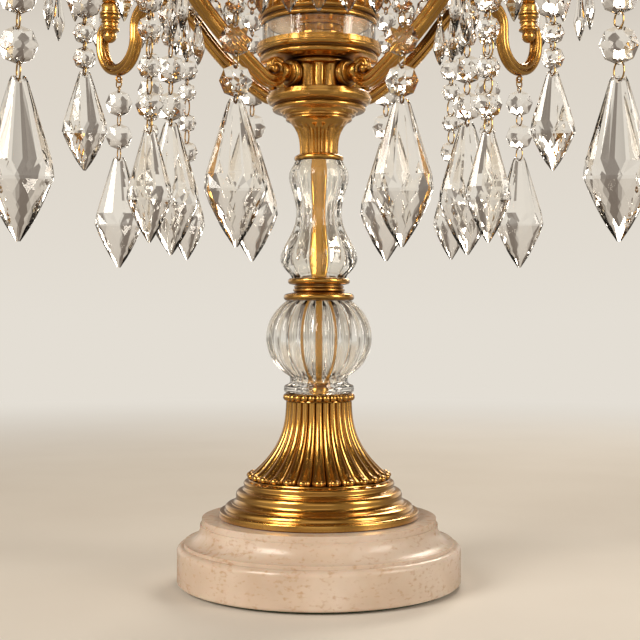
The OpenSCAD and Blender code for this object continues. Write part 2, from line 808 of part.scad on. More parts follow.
module canopy_strand(i) {
    turn = canopy_turn(i);
    color(clear) hang(turn, canopy_hook_r, canopy_eye_z, turn + 90)
        strand(canopy_beads, front - turn - 90) pendant(large_pendant);
}

module arm_strand(i, rho, z, beads, size) {
    turn = arm_turn(i);
    color(clear) hang(turn, rho, z, turn) strand(beads, front - turn) pendant(size);
}

felt_pad();
marble_base();
cord_bushing();
base_flange_nut();
threaded_rod();
foot_plate();
fluted_foot();
bead_ring();
melon_glass();
double_collar();
vase_glass();
rod_sleeve();
neck_ring();
trumpet_capital();
saucer_disc();
arm_hub();
arm_screws();
hub_bosses();
arm_eyes();
gallery_base_ring();
gallery_glass();
gallery_core();
gallery_top_ring();
canopy_drum();
canopy();
upper_glass();
upper_collar();
for (i = [1:4]) arm(i);
candle_cups();
lamp_sockets();
candle_sleeves();
drip_dishes();
dish_drops();
canopy_drops();
for (i = [1:5]) bulb(i);
for (i = [1:6]) canopy_strand(i);
for (i = [1:4]) arm_strand(i, inner_rho, inner_eye_z, inner_beads, middle_pendant);
for (i = [1:4]) arm_strand(i, crest_rho, crest_eye_z, crest_beads, small_pendant);
for (i = [1:4]) arm_strand(i, outer_rho, outer_eye_z, outer_beads, large_pendant);
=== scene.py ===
# %% [markdown]
# # A crystal table lamp
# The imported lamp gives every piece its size, its place and its joints. This script dresses it:
# each brass, glass and crystal piece is modelled again with its fine form, in the same place,
# and rides on the same body. Lengths are written in millimetres and turned to metres by MM.

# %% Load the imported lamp
import math

import bmesh
import bpy
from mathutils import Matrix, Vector


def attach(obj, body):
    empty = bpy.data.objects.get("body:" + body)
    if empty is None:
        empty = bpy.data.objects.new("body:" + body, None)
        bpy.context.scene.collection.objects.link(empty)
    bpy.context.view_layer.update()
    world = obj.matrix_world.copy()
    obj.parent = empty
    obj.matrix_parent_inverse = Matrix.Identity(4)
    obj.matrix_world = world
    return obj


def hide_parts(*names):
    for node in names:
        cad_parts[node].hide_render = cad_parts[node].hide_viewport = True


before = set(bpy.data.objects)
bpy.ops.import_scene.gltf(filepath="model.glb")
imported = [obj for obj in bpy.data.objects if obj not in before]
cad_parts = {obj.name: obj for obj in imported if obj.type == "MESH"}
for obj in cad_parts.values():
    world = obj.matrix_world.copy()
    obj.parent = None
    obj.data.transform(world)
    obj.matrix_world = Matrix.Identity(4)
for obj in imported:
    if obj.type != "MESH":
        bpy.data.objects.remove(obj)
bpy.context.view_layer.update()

MM = 0.001

# %% [markdown]
# ## Small helpers
# A colour is written as it is read off a colour picker, so one function turns sRGB hex to the
# linear values that a shader works with. Another adds a node with its settings and links.

# %% Colours and nodes


def hex_colour(code):
    """Linear colour of an sRGB hex value."""
    parts = [int(code[i:i + 2], 16) / 255 for i in (1, 3, 5)]
    linear = [c / 12.92 if c <= 0.04045 else ((c + 0.055) / 1.055) ** 2.4 for c in parts]
    return (*linear, 1.0)


def add_node(tree, kind, inputs=None, **settings):
    """Adds a shader node, sets its settings, and fills or links its inputs.

    An input that is given a node is linked to that node's first output, and one that is given
    a hex colour gets its linear value.
    """
    node = tree.nodes.new("ShaderNode" + kind)
    for key, value in settings.items():
        setattr(node, key, value)
    for key, value in (inputs or {}).items():
        if isinstance(value, bpy.types.Node):
            value = value.outputs[0]
        elif isinstance(value, str):
            value = hex_colour(value)
        if isinstance(value, bpy.types.NodeSocket):
            tree.links.new(value, node.inputs[key])
        else:
            node.inputs[key].default_value = value
    return node


def new_material(name):
    """An empty node material, its node tree, and the place on the piece for its patterns."""
    material = bpy.data.materials.new(name)
    material.use_nodes = True
    tree = material.node_tree
    tree.nodes.clear()
    return material, tree, add_node(tree, "TexCoord").outputs["Object"]


def close_material(tree, shader):
    """Links the finished shader to the material's output."""
    add_node(tree, "OutputMaterial", {"Surface": shader})


def set_ramp(node, stops):
    """Puts the stops, each a position and a hex colour, on a ramp."""
    ramp = node.color_ramp
    while len(ramp.elements) < len(stops):
        ramp.elements.new(0.5)
    for element, (position, colour) in zip(ramp.elements, stops):
        element.position = position
        element.color = hex_colour(colour)


# %% [markdown]
# ## Brass
# The metal is cast and turned brass, polished bright and lacquered a warm gold. An ambient occlusion
# node mixes a darker, duller tone into the recesses and where parts meet: partly the brown film
# that polishing wheels leave in the hollows, partly painted shade. A slow waviness breaks the
# reflections, as on castings, and turned pieces show the lathe's fine rings. The lacquer is a clear
# coat over the metal, which makes the highlights paler than the brass itself.

# %% Brass materials


def brass_material(name, face, hollow, rough, rings, alone=False):
    """Lacquered brass. rings is the strength of the lathe lines.

    alone is for a piece behind glass, where the glass beside it must not paint shade on it as on a recess.
    """
    material, tree, place = new_material(name)
    # Painted shade, with the brown polishing film: the colour darkens in recesses and where other parts
    # come near
    film_and_painted_shade = add_node(tree, "AmbientOcclusion", {"Distance": 6 * MM},
                    samples=8, only_local=alone)
    tone = add_node(tree, "ValToRGB", {"Fac": film_and_painted_shade.outputs["AO"]})
    set_ramp(tone, [(0.15, hollow), (0.85, face)])
    cloud = add_node(tree, "TexNoise", {"Vector": place, "Scale": 45.0, "Detail": 3.0})
    warm = add_node(tree, "ValToRGB", {"Fac": cloud})
    set_ramp(warm, [(0.3, "#f8eedd"), (0.7, "#ffffff")])
    colour = add_node(tree, "VectorMath", {
        0: tone, 1: warm}, operation="MULTIPLY")
    wear = add_node(tree, "TexNoise", {"Vector": place, "Scale": 700.0, "Detail": 2.0})
    dull = add_node(tree, "MapRange", {
        "Value": wear, "To Min": rough - 0.03, "To Max": rough + 0.07})
    dark = add_node(tree, "MapRange", {
        "Value": film_and_painted_shade.outputs["AO"], "From Min": 0.2, "From Max": 0.8, "To Min": 0.2, "To Max": 0.0})
    roughness = add_node(tree, "Math", {
        0: dull, 1: dark}, operation="ADD")
    wave = add_node(tree, "TexNoise", {"Vector": place, "Scale": 130.0, "Detail": 1.0})
    bump = add_node(tree, "Bump", {
        "Height": wave, "Strength": 0.1, "Distance": 0.25 * MM})
    stretch = add_node(tree, "Mapping", {"Vector": place, "Scale": (12.0, 12.0, 2600.0)})
    lines = add_node(tree, "TexNoise", {
        "Vector": stretch, "Scale": 1.0, "Detail": 1.0})
    turned = add_node(tree, "Bump", {
        "Height": lines, "Strength": rings, "Distance": 0.05 * MM,
        "Normal": bump})
    shader = add_node(tree, "BsdfPrincipled", {
        "Base Color": colour, "Metallic": 1.0,
        "Roughness": roughness, "Normal": turned,
        "Coat Weight": 1.0, "Coat Roughness": 0.12})
    close_material(tree, shader)
    return material


# The second colour of each brass is its recess tone: brown polishing film and painted shade
cast_brass = brass_material("lacquered_cast_brass", "#e4ad4e", "#6b3f10", 0.2, 0.0)
turned_brass = brass_material("lacquered_turned_brass", "#e6b051", "#6b3f10", 0.21, 0.35)
bright_brass = brass_material("lacquered_brass_tube", "#e6b051", "#6b3f10", 0.21, 0.1, alone=True)
gilt_wire = brass_material("gilt_wire", "#e9bf70", "#8a5a20", 0.2, 0.0)
print("brass:", cast_brass.name, turned_brass.name, bright_brass.name, gilt_wire.name)

# %% [markdown]
# ## Glass and crystal
# The stem's glass was pressed in a mould and fire polished: clear, a little wavy, index 1.52.
# The drops are lead crystal, cut and polished to flat facets, with a higher index of 1.6 that
# throws brighter flashes. Both are full transmission with hardly any roughness.

# %% Glass materials


def clear_material(name, tint, index, wave, rough):
    """Clear glass. wave is the strength of its surface ripple."""
    material, tree, place = new_material(name)
    ripple = add_node(tree, "TexNoise", {"Vector": place, "Scale": 160.0, "Detail": 1.0})
    bump = add_node(tree, "Bump", {
        "Height": ripple, "Strength": wave, "Distance": 0.2 * MM})
    smear = add_node(tree, "TexNoise", {"Vector": place, "Scale": 90.0, "Detail": 4.0})
    roughness = add_node(tree, "MapRange", {
        "Value": smear, "From Min": 0.55, "From Max": 0.8,
        "To Min": rough, "To Max": rough + 0.05})
    shader = add_node(tree, "BsdfPrincipled", {
        "Base Color": tint, "Roughness": roughness,
        "IOR": index, "Transmission Weight": 1.0, "Normal": bump})
    close_material(tree, shader)
    return material


pressed_glass = clear_material("pressed_clear_glass", "#fbfaf6", 1.52, 0.2, 0.01)
cut_crystal = clear_material("cut_lead_crystal", "#fffdf9", 1.6, 0.03, 0.0)
bulb_glass = clear_material("blown_bulb_glass", "#fffaf0", 1.45, 0.05, 0.01)
print("glass:", pressed_glass.name, cut_crystal.name, bulb_glass.name)

# %% [markdown]
# ## Marble
# The base is cream marble, sawn, turned and polished to a soft gloss. It has pale clouds, faint
# tan veins, and scattered brown specks a millimetre or two across.

# %% Marble material
marble, tree, place = new_material("polished_cream_marble")
cloud = add_node(tree, "TexNoise", {"Vector": place, "Scale": 22.0, "Detail": 6.0})
ground = add_node(tree, "ValToRGB", {"Fac": cloud})
set_ramp(ground, [(0.3, "#cbb49f"), (0.5, "#d8c3af"),
                  (0.7, "#e3d2c2")])
bend = add_node(tree, "TexNoise", {"Vector": place, "Scale": 14.0, "Detail": 4.0})
bent = add_node(tree, "VectorMath", {
    0: bend.outputs["Color"], 1: (0.05, 0.05, 0.05), 2: place}, operation="MULTIPLY_ADD")
veins = add_node(tree, "TexVoronoi", {
    "Vector": bent, "Scale": 17.0}, feature="DISTANCE_TO_EDGE")
vein_line = add_node(tree, "MapRange", {
    "Value": veins, "From Min": 0.0, "From Max": 0.05,
    "To Min": 0.14, "To Max": 0.0})
veined = add_node(tree, "Mix", {
    0: vein_line, 6: ground, 7: "#c3a27d"},
    data_type="RGBA")
flat = add_node(tree, "Mapping", {"Vector": place, "Scale": (1.0, 1.0, 1.7)})
fleck = add_node(tree, "TexNoise", {
    "Vector": flat, "Scale": 300.0, "Detail": 2.0})
patch = add_node(tree, "TexNoise", {"Vector": place, "Scale": 55.0, "Detail": 2.0})
both = add_node(tree, "Math", {
    0: patch, 1: 0.6, 2: fleck}, operation="MULTIPLY_ADD")
speck = add_node(tree, "MapRange", {
    "Value": both, "From Min": 0.85, "From Max": 1.05, "To Min": 0.0, "To Max": 0.55})
specked = add_node(tree, "Mix", {
    0: speck, 6: veined.outputs[2], 7: "#b88d63"},
    data_type="RGBA")
gloss = add_node(tree, "MapRange", {
    "Value": cloud, "To Min": 0.16, "To Max": 0.3})
pit = add_node(tree, "Bump", {
    "Height": fleck, "Strength": 0.08, "Distance": 0.2 * MM})
stone = add_node(tree, "BsdfPrincipled", {
    "Base Color": specked.outputs[2], "Roughness": gloss,
    "IOR": 1.5, "Subsurface Weight": 0.12, "Subsurface Scale": 4 * MM,
    "Normal": pit})
close_material(tree, stone)
print("marble:", marble.name)

# %% [markdown]
# ## Plain finishes
# The candle sleeves are ivory card with a wax coat, the holders unglazed porcelain, the hidden
# rod, nut and screws zinc-plated steel, and the pad under the base green wool felt. Each is one
# shader with a noise for its grain.

# %% Plain finishes


def plain_material(name, light, dark, rough, metal, grain, depth):
    """A finish of two close tones with a grain of that many bumps per metre."""
    material, tree, place = new_material(name)
    noise = add_node(tree, "TexNoise", {"Vector": place, "Scale": grain, "Detail": 4.0})
    tone = add_node(tree, "ValToRGB", {"Fac": noise})
    set_ramp(tone, [(0.35, dark), (0.65, light)])
    spread = add_node(tree, "MapRange", {
        "Value": noise, "To Min": rough - 0.05, "To Max": rough + 0.05})
    bump = add_node(tree, "Bump", {
        "Height": noise, "Strength": 0.5, "Distance": depth * MM})
    shader = add_node(tree, "BsdfPrincipled", {
        "Base Color": tone, "Roughness": spread,
        "Metallic": metal, "Normal": bump})
    close_material(tree, shader)
    return material


waxed_card = plain_material("waxed_ivory_card", "#f1e6cf", "#e6d7b8", 0.42, 0.0, 300.0, 0.05)
porcelain = plain_material("unglazed_porcelain", "#e9e2d3", "#dfd6c4", 0.5, 0.0, 800.0, 0.03)
zinc_steel = plain_material("zinc_plated_steel", "#c9ccd0", "#aeb2b8", 0.3, 1.0, 500.0, 0.02)
wool_felt = plain_material("green_wool_felt", "#4d5b45", "#38442f", 0.92, 0.0, 1200.0, 0.4)
filament_metal = plain_material("drawn_tungsten_wire", "#8d8880", "#6f6a62", 0.35, 1.0, 900.0, 0.01)
print("plain finishes:", waxed_card.name, porcelain.name, zinc_steel.name, wool_felt.name)

# %% [markdown]
# ## Working by hand in code
# Every new piece starts as a primitive and is shaped in edit mode. The next helpers name the
# new object, pick its vertices by their place, and finish it: shading, material, the node that
# it stands for, and the body that it rides on.

# %% Modelling helpers


def only(*objects):
    """Selects these objects and nothing else. The first is active."""
    if bpy.context.object and bpy.context.object.mode == "EDIT":
        bpy.ops.object.mode_set(mode="OBJECT")
    bpy.ops.object.select_all(action="DESELECT")
    for item in objects:
        item.select_set(True)
    bpy.context.view_layer.objects.active = objects[0]


def deselect():
    """Clears the selection, so that a new primitive is all that the next operator acts on."""
    bpy.ops.object.select_all(action="DESELECT")


def named(name):
    """Names the object that was just added."""
    piece = bpy.context.object
    piece.name = name
    piece.data.name = name
    return piece


def placed(piece, turns=(0, 0, 0), at=(0, 0, 0)):
    """Turns a piece by degrees, moves it by millimetres, and puts both into its mesh."""
    only(piece)
    piece.rotation_euler = [math.radians(v) for v in turns]
    piece.location = [v * MM for v in at]
    bpy.ops.object.transform_apply(location=True, rotation=True, scale=True)
    return piece


def round_stem(rho, degrees, z):
    """The point at a distance from the stem, in a direction, at a height."""
    a = math.radians(degrees)
    return rho * math.cos(a), rho * math.sin(a), z


def delete(*pieces):
    for piece in pieces:
        bpy.data.objects.remove(piece)


def mode(name):
    bpy.ops.object.mode_set(mode=name)


def pick(test, kind="VERT"):
    """In edit mode, selects the vertices, edges or faces whose middle passes the test."""
    bpy.ops.mesh.select_mode(type=kind)
    bpy.ops.mesh.select_all(action="DESELECT")
    mesh = bmesh.from_edit_mesh(bpy.context.object.data)
    groups = {"VERT": mesh.verts, "EDGE": mesh.edges, "FACE": mesh.faces}
    for item in groups[kind]:
        if kind == "VERT":
            middle = item.co
        elif kind == "EDGE":
            middle = (item.verts[0].co + item.verts[1].co) / 2
        else:
            middle = item.calc_center_median()
        item.select = test(middle / MM)
    mesh.select_flush_mode()
    bmesh.update_edit_mesh(bpy.context.object.data)


def tidy_mesh(piece):
    """Merges doubled points and turns all faces outwards."""
    only(piece)
    mode("EDIT")
    bpy.ops.mesh.select_all(action="SELECT")
    bpy.ops.mesh.remove_doubles(threshold=0.002 * MM)
    bpy.ops.mesh.normals_make_consistent(inside=False)
    mode("OBJECT")


def joined(pieces, name):
    """Joins the pieces into the first one."""
    only(*pieces)
    bpy.ops.object.join()
    return named(name)


def copy_to(piece, name, turn=0.0, at=(0, 0, 0)):
    """Copies a piece with its own mesh, turned about Z by degrees, and moved, in millimetres."""
    only(piece)
    bpy.ops.object.duplicate()
    return placed(named(name), (0, 0, turn), at)


def cover(piece, material):
    """Gives the piece one material."""
    piece.data.materials.clear()
    piece.data.materials.append(material)
    return piece


def finish_piece(piece, material, nodes=(), body="lamp", smooth=35.0):
    """Covers and shades the piece, lets it stand for CAD nodes and rides it on its body."""
    cover(piece, material)
    only(piece)
    if smooth:
        bpy.ops.object.shade_smooth_by_angle(angle=math.radians(smooth))
    else:
        bpy.ops.object.shade_flat()
    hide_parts(*nodes)
    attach(piece, body)
    print(piece.name, "faces:", len(piece.data.polygons))
    return piece


# %% [markdown]
# ## Turning and fluting
# A turned piece is a half section drawn point by point with the extrude tool, then spun round
# the stem. A fluted piece starts as a ring whose points are scaled in and out to the shape of
# one flute, and that ring is extruded upwards row by row.

# %% Half sections


def arc(centre, radius, start, end, steps=8):
    """Points of an arc as [distance out, height], angles in degrees."""
    turns = [math.radians(start + (end - start) * i / steps) for i in range(steps + 1)]
    return [[centre[0] + radius * math.cos(a), centre[1] + radius * math.sin(a)] for a in turns]


def roll(out, low, high, steps=8):
    """A half round that stands out to a distance between two heights."""
    r = (high - low) / 2
    return arc([out - r, low + r], r, -90, 90, steps)


def draw_section(outline):
    """In edit mode with one vertex selected at the first point, extrudes it along the outline."""
    for (x0, z0), (x1, z1) in zip(outline, outline[1:]):
        step = ((x1 - x0) * MM, 0, (z1 - z0) * MM)
        bpy.ops.mesh.extrude_vertices_move(TRANSFORM_OT_translate={"value": step})


def turned(name, outline, steps=96, closed=True, base=0.0):
    """Spins a half section, in millimetres, about Z. base is the height it is measured from."""
    outline = [[x, z + base] for x, z in outline]
    deselect()
    bpy.ops.mesh.primitive_plane_add(size=1 * MM)
    piece = named(name)
    mode("EDIT")
    bpy.ops.mesh.merge(type="CENTER")
    bpy.ops.transform.translate(value=(outline[0][0] * MM, 0, outline[0][1] * MM))
    draw_section(outline + ([outline[0]] if closed else []))
    bpy.ops.mesh.select_all(action="SELECT")
    bpy.ops.mesh.spin(steps=steps, angle=2 * math.pi, center=(0, 0, 0), axis=(0, 0, 1))
    mode("OBJECT")
    tidy_mesh(piece)
    return piece


# Millimetres within which points count as one height
NEAR = 0.01


def draw_in(n, shape, z, old, new):
    """Scales the points of the ring at height z from one depth of its lobes to another."""
    for k, share in enumerate(shape):
        if share:
            # Blender's circle starts on the Y axis, a quarter turn round
            pick(lambda p: abs(p.z - z) < NEAR
                 and round(math.atan2(p.y, p.x) / (2 * math.pi) * n - n / 4) % len(shape) == k)
            scale = (1 - share * new) / (1 - share * old)
            bpy.ops.transform.resize(value=(scale, scale, 1), center_override=(0, 0, z * MM))
    pick(lambda p: abs(p.z - z) < NEAR)


def fluted(name, rows, lobes, shape, base=0.0, filled=True):
    """Extrudes a lobed ring up rows of [height over the base, radius, depth].

    shape lists how far each point of one lobe is drawn in, from 0 to 1, and a row's depth is
    the share of the radius that a 1 stands for. A row without a depth is round.
    """
    rows = [[row[0] + base, row[1], row[2] if len(row) > 2 else 0] for row in rows]
    n = lobes * len(shape)
    z, radius, depth = rows[0]
    deselect()
    bpy.ops.mesh.primitive_circle_add(
        vertices=n, radius=radius * MM, fill_type="NGON" if filled else "NOTHING")
    piece = named(name)
    mode("EDIT")
    bpy.ops.transform.translate(value=(0, 0, z * MM))
    draw_in(n, shape, z, 0, depth)
    for high, wide, deep in rows[1:]:
        bpy.ops.mesh.extrude_region_move(
            TRANSFORM_OT_translate={"value": (0, 0, (high - z) * MM)})
        scale = wide / radius
        bpy.ops.transform.resize(value=(scale, scale, 1), center_override=(0, 0, high * MM))
        if deep != depth:
            draw_in(n, shape, high, depth, deep)
        z, radius, depth = high, wide, deep
    mode("OBJECT")
    return piece


def walled(outer, inner, low, high):
    """Joins an outer and an inner wall and bridges their rims at both heights."""
    piece = joined([outer, inner], outer.name)
    mode("EDIT")
    for z in (low, high):
        pick(lambda p: abs(p.z - z) < NEAR)
        bpy.ops.mesh.bridge_edge_loops()
    mode("OBJECT")
    tidy_mesh(piece)
    return piece


def spun_copies(piece, count):
    """Repeats all of a piece round Z."""
    only(piece)
    mode("EDIT")
    bpy.ops.mesh.select_all(action="SELECT")
    bpy.ops.mesh.spin(steps=count, angle=2 * math.pi, center=(0, 0, 0), axis=(0, 0, 1), dupli=True)
    mode("OBJECT")
    tidy_mesh(piece)
    return piece


def brass_turning(name, node, base, outline, steps=96):
    """A turned brass piece that stands for one node."""
    return finish_piece(turned(name, outline, steps, base=base), turned_brass, [node])


# Shares of a lobe's depth round one lobe: a reed with a sharp valley, a half round with a
# narrow valley, and a hollow between narrow fillets
REED = [0.0, 0.08, 0.3, 0.62, 1.0, 0.62, 0.3, 0.08]
HALF_ROUND = [0.0, 0.014, 0.06, 0.134, 0.255, 0.45, 1.0, 0.45, 0.255, 0.134, 0.06, 0.014]
HOLLOW = [0.0, 0.08, 0.62, 0.9, 1.0, 0.9, 0.62, 0.08]

print("lobe shapes of", len(REED), len(HALF_ROUND), len(HOLLOW), "points")

# %% [markdown]
# ## Brass of the stem
# The foot plate is one turning of stacked rolls and hollows. Above it the cone is a casting with
# 28 half-round ribs that run down to rounded toes. A ring of pearls, cast apart, covers the
# cone's top, one pearl over each rib. Each piece starts where the solid below it ends.

# %% Foot plate
FOOT_Z = 37.0
outline = ([[5.2, 0], [55.8, 0], [56.4, 0.6], [56.4, 3.2]] + arc([55.4, 3.2], 1.0, 0, 90, 4)
           + [[53.5, 4.4], [53.3, 4.7]] + arc([50.3, 4.9], 3.0, 0, 74, 8) + [[49.5, 8.2], [49.3, 8.6]]
           + arc([49.9, 11.8], 3.2, -100, -172, 6) + [[46.9, 12.0], [46.9, 12.7]]
           + arc([44.2, 12.9], 2.7, 0, 76, 7) + [[43.3, 15.9], [43.1, 16.3]]
           + arc([43.5, 17.6], 1.3, -110, -172, 4) + [[42.3, 18.2]] + arc([41.0, 19.0], 1.6, -30, 80, 6)
           + [[39.9, 21.0], [39.7, 21.5], [5.2, 21.5]])
brass_turning("stepped_foot_plate", "foot_plate", FOOT_Z, outline, 128)

# %% Fluted cone
def ball_ring(name, rho, height, size):
    """A ring of cast balls, one over each rib, of half sizes outward, sideways and upward."""
    deselect()
    bpy.ops.mesh.primitive_uv_sphere_add(segments=14, ring_count=9, radius=1 * MM)
    piece = named(name)
    mode("EDIT")
    bpy.ops.transform.resize(value=size, center_override=(0, 0, 0))
    bpy.ops.transform.translate(value=(rho * MM, 0, height * MM))
    mode("OBJECT")
    return spun_copies(piece, RIBS)


CONE_Z, CONE_H = 58.5, 43.5
NECK_R, FLARE = 18.6, 22.3
RIBS = 28
RIB_DEPTH = 0.11
TOE_RHO, TOE_H = 38.9, 1.9
rows = [[0, 38.4, 0.05], [0.6, 39.4, 0.09], [1.6, 39.8, RIB_DEPTH], [2.6, 39.4, RIB_DEPTH]]
for n in range(1, 21):
    t = 0.06 + 0.94 * n / 20
    rows.append([CONE_H * t, NECK_R + FLARE * (1 - t) ** 2.6 + 1.2 * (1 - t), RIB_DEPTH])
cone = fluted("fluted_cone", rows, RIBS, HALF_ROUND, CONE_Z)
toes = ball_ring("toes", TOE_RHO, CONE_Z + TOE_H, (2.1, 2.6, 1.8))
cone = joined([cone, toes], "fluted_cone")
finish_piece(cone, cast_brass, ["fluted_foot"], smooth=50)

# %% Ring of pearls
PEARL_Z, PEARL_RHO, PEARL_H, PEARL_R = 102.0, 18.3, 2.5, 2.1
pearls = ball_ring("pearls", PEARL_RHO, PEARL_Z + PEARL_H, (PEARL_R, PEARL_R, PEARL_R))
outline = [[5.2, 0], [17.2, 0], [18.4, 0.3], [18.2, 0.9], [17.2, 1.2], [17.2, 3.8], [18.2, 4.1],
           [18.2, 4.7], [17.2, 5], [5.2, 5]]
ring = joined([pearls, turned("pearl_band", outline, base=PEARL_Z)], "pearl_ring")
finish_piece(ring, cast_brass, ["bead_ring"])

# %% Collars and rings
COLLAR_Z = 158.7
outline = ([[5.9, 0], [17.6, 0]] + roll(20.0, 0.2, 4.2) + [[16.6, 4.5], [14.2, 4.9]]
           + roll(14.7, 5.2, 7.1, 6) + roll(14.2, 7.3, 8.7, 5) + [[13.5, 9.0], [15.0, 9.3]]
           + roll(17.6, 9.5, 12.9) + [[14.6, 13.1], [5.9, 13.1]])
brass_turning("double_collar_turned", "double_collar", COLLAR_Z, outline)
NECK_Z = 237.5
outline = ([[5.2, 0], [12.4, 0]] + roll(14.0, 0.3, 3.4) + [[12.0, 3.6], [11.8, 4.0], [5.2, 4.0]])
brass_turning("neck_roll", "neck_ring", NECK_Z, outline)

# %% Trumpet capital
CAPITAL_Z, CAPITAL_H, FLUTES = 241.5, 20.5, 18
rows = []
for n in range(10):
    t = 0.58 * n / 9
    rows.append([CAPITAL_H * t, 11.0 + 6.9 * t ** 3, 0.14])
rows += [[12.9, 12.7, 0.135], [13.8, 13.2, 0.12], [14.6, 13.6, 0.095], [15.3, 14.0, 0.06],
         [15.8, 14.3, 0.025], [16.2, 14.6], [17.2, 15.3], [18.2, 16.3], [18.9, 17.3], [19.2, 18.4],
         [19.5, 18.7], [20.0, 18.7], [20.5, 18.3]]
capital = fluted("trumpet_bell", rows, FLUTES, HOLLOW, CAPITAL_Z)
finish_piece(capital, cast_brass, ["trumpet_capital"], smooth=40)

# %% Saucer under the hub
SAUCER_Z = 262.0
outline = ([[5.2, 0], [18.4, 0], [18.9, 0.5], [18.9, 1.1]] + arc([23.4, 0.3], 3.2, 160, 100, 5)
           + [[24.3, 3.7]] + roll(26.5, 3.8, 6.6) + [[25.5, 6.8], [25.4, 7.2], [26.2, 7.4]]
           + arc([26.0, 11.0], 3.6, -86, 8, 9) + [[29.2, 11.8], [29.2, 12.3], [28.4, 12.6],
                                                 [28.4, 13.5], [27.9, 14.0], [5.2, 14.0]])
brass_turning("saucer_moulding", "saucer_disc", SAUCER_Z, outline)

# %% [markdown]
# ## Hub, cushions and gallery
# The hub is a drum with twelve half-round pilasters that end in small arches. Four turned
# cushions stand between it and the arms. Above, the gallery is a glass ring between two brass
# rings, with a fluted core inside, and a reeded drum that carries the canopy.

# %% Hub drum
HUB_Z, PILASTERS = 276.0, 12
PILASTER = [0.0, 0.04, 0.14, 0.34, 0.7, 1.0, 1.0, 0.7, 0.34, 0.14, 0.04]
rows = [[0, 19.6], [0.9, 19.6], [1.2, 19.0], [1.3, 18.7, 0.05], [1.6, 18.7, 0.14], [13.2, 18.7, 0.14],
        [13.9, 18.7, 0.1], [14.2, 18.7], [14.5, 19.4], [15.1, 20.1], [16.2, 20.3], [17.0, 19.9],
        [17.6, 19.2]]
hub = fluted("hub_drum", rows, PILASTERS, PILASTER, HUB_Z)
finish_piece(hub, cast_brass, ["arm_hub"], smooth=40)

# %% Cushions between hub and arms
ARM_TURNS = [225, 315, 45, 135]
ARM_MID_Z = 284.8
outline = ([[2.2, 18.2], [5.2, 18.2], [5.2, 19.3]] + roll(6.8, 19.4, 20.6, 5)
           + roll(7.6, 20.8, 23.6, 8) + roll(6.6, 23.8, 25.0, 5) + [[5.0, 25.1], [5.0, 26.0], [2.2, 26.0]])
cushion = placed(turned("cushion", outline, 40), (0, 90, 0), (0, 0, ARM_MID_Z))
cushions = joined([copy_to(cushion, "cushion_copy", turn) for turn in ARM_TURNS], "turned_cushions")
delete(cushion)
finish_piece(cushions, turned_brass, ["hub_bosses"])

# %% Gallery rings
BASE_RING_Z = 293.6
outline = ([[5.2, 0], [31.6, 0]] + roll(33.5, 0.2, 3.2) + [[31.9, 3.4], [31.9, 3.9], [33.6, 4.1]]
           + arc([33.6, 5.6], 1.5, -90, 0, 4) + [[35.1, 6.0], [35.7, 6.4], [35.7, 8.4], [35.1, 8.8],
                                                [35.1, 9.4], [5.2, 9.4]])
brass_turning("gallery_foot_ring", "gallery_base_ring", BASE_RING_Z, outline)
TOP_RING_Z = 314.0
outline = ([[5.2, 0], [31.6, 0]] + roll(33.0, 0.2, 2.8) + [[31.4, 3.0], [31.4, 3.5], [33.0, 3.7]]
           + roll(34.5, 3.9, 6.6) + [[31.0, 7.0], [5.2, 7.0]])
brass_turning("gallery_head_ring", "gallery_top_ring", TOP_RING_Z, outline)

# %% Gallery core and reeded drum
CORE_Z, DRUM_Z, DRUM_R, REEDS = 303.0, 321.0, 29.5, 24
rows = [[0, 15.6], [5.6, 15.6], [6.0, 15.2], [6.1, 13.8], [6.2, 13.8, 0.1], [10.0, 13.8, 0.1],
        [10.1, 13.8], [10.3, 14.8], [11.0, 14.8]]
core = fluted("gallery_fluted_core", rows, 12, HOLLOW, CORE_Z)
finish_piece(core, bright_brass, ["gallery_core"])
rows = [[z, DRUM_R, depth] for z, depth in ((0, 0), (1.6, 0), (2.4, 0.05), (3.6, 0.08),
                                            (26.4, 0.08), (27.6, 0.05), (28.4, 0), (30.0, 0))]
drum = fluted("reeded_drum", rows, REEDS, REED, DRUM_Z)
finish_piece(drum, cast_brass, ["canopy_drum"], smooth=50)

# %% [markdown]
# ## Glass of the stem
# The ball and the vases are thick pressed glass. Light bends at both faces, so each has an outer
# wall with its ribs or panels and a smooth inner wall, bridged at the rims, and not one skin.

# %% Ribbed ball
BALL_Z, BALL_R, BALL_MID, BALL_HALF, BALL_TOP = 107.0, 29.9, 31, 26.4, 51.7
LOBES, LOBE_DEPTH, BALL_WALL = 24, 0.115, 6.5
rows = [[0, 18.6], [0.5, 19.4], [1.4, 19.8], [3.2, 19.8], [4.2, 19.2], [4.9, 17.2], [6.0, 16.4, 0.01],
        [7.4, 16.2, 0.05]]
heights = [9 + 42.7 * n / 18 for n in range(19)]


def ball_radius(z):
    return BALL_R * math.sqrt(1 - ((z - BALL_MID) / BALL_HALF) ** 2)


rows += [[z, ball_radius(z), LOBE_DEPTH] for z in heights]
outer = fluted("ribbed_glass_ball", rows, LOBES, HALF_ROUND, BALL_Z, False)
inner = [[9.0, 0], [9.0, 5.0], [9.4, 7.4]] + [[ball_radius(z) - BALL_WALL, z] for z in heights[::2]]
ball = walled(outer, turned("ball_bore", inner, 80, False, BALL_Z), BALL_Z, BALL_Z + BALL_TOP)
finish_piece(ball, pressed_glass, ["melon_glass"], smooth=60)

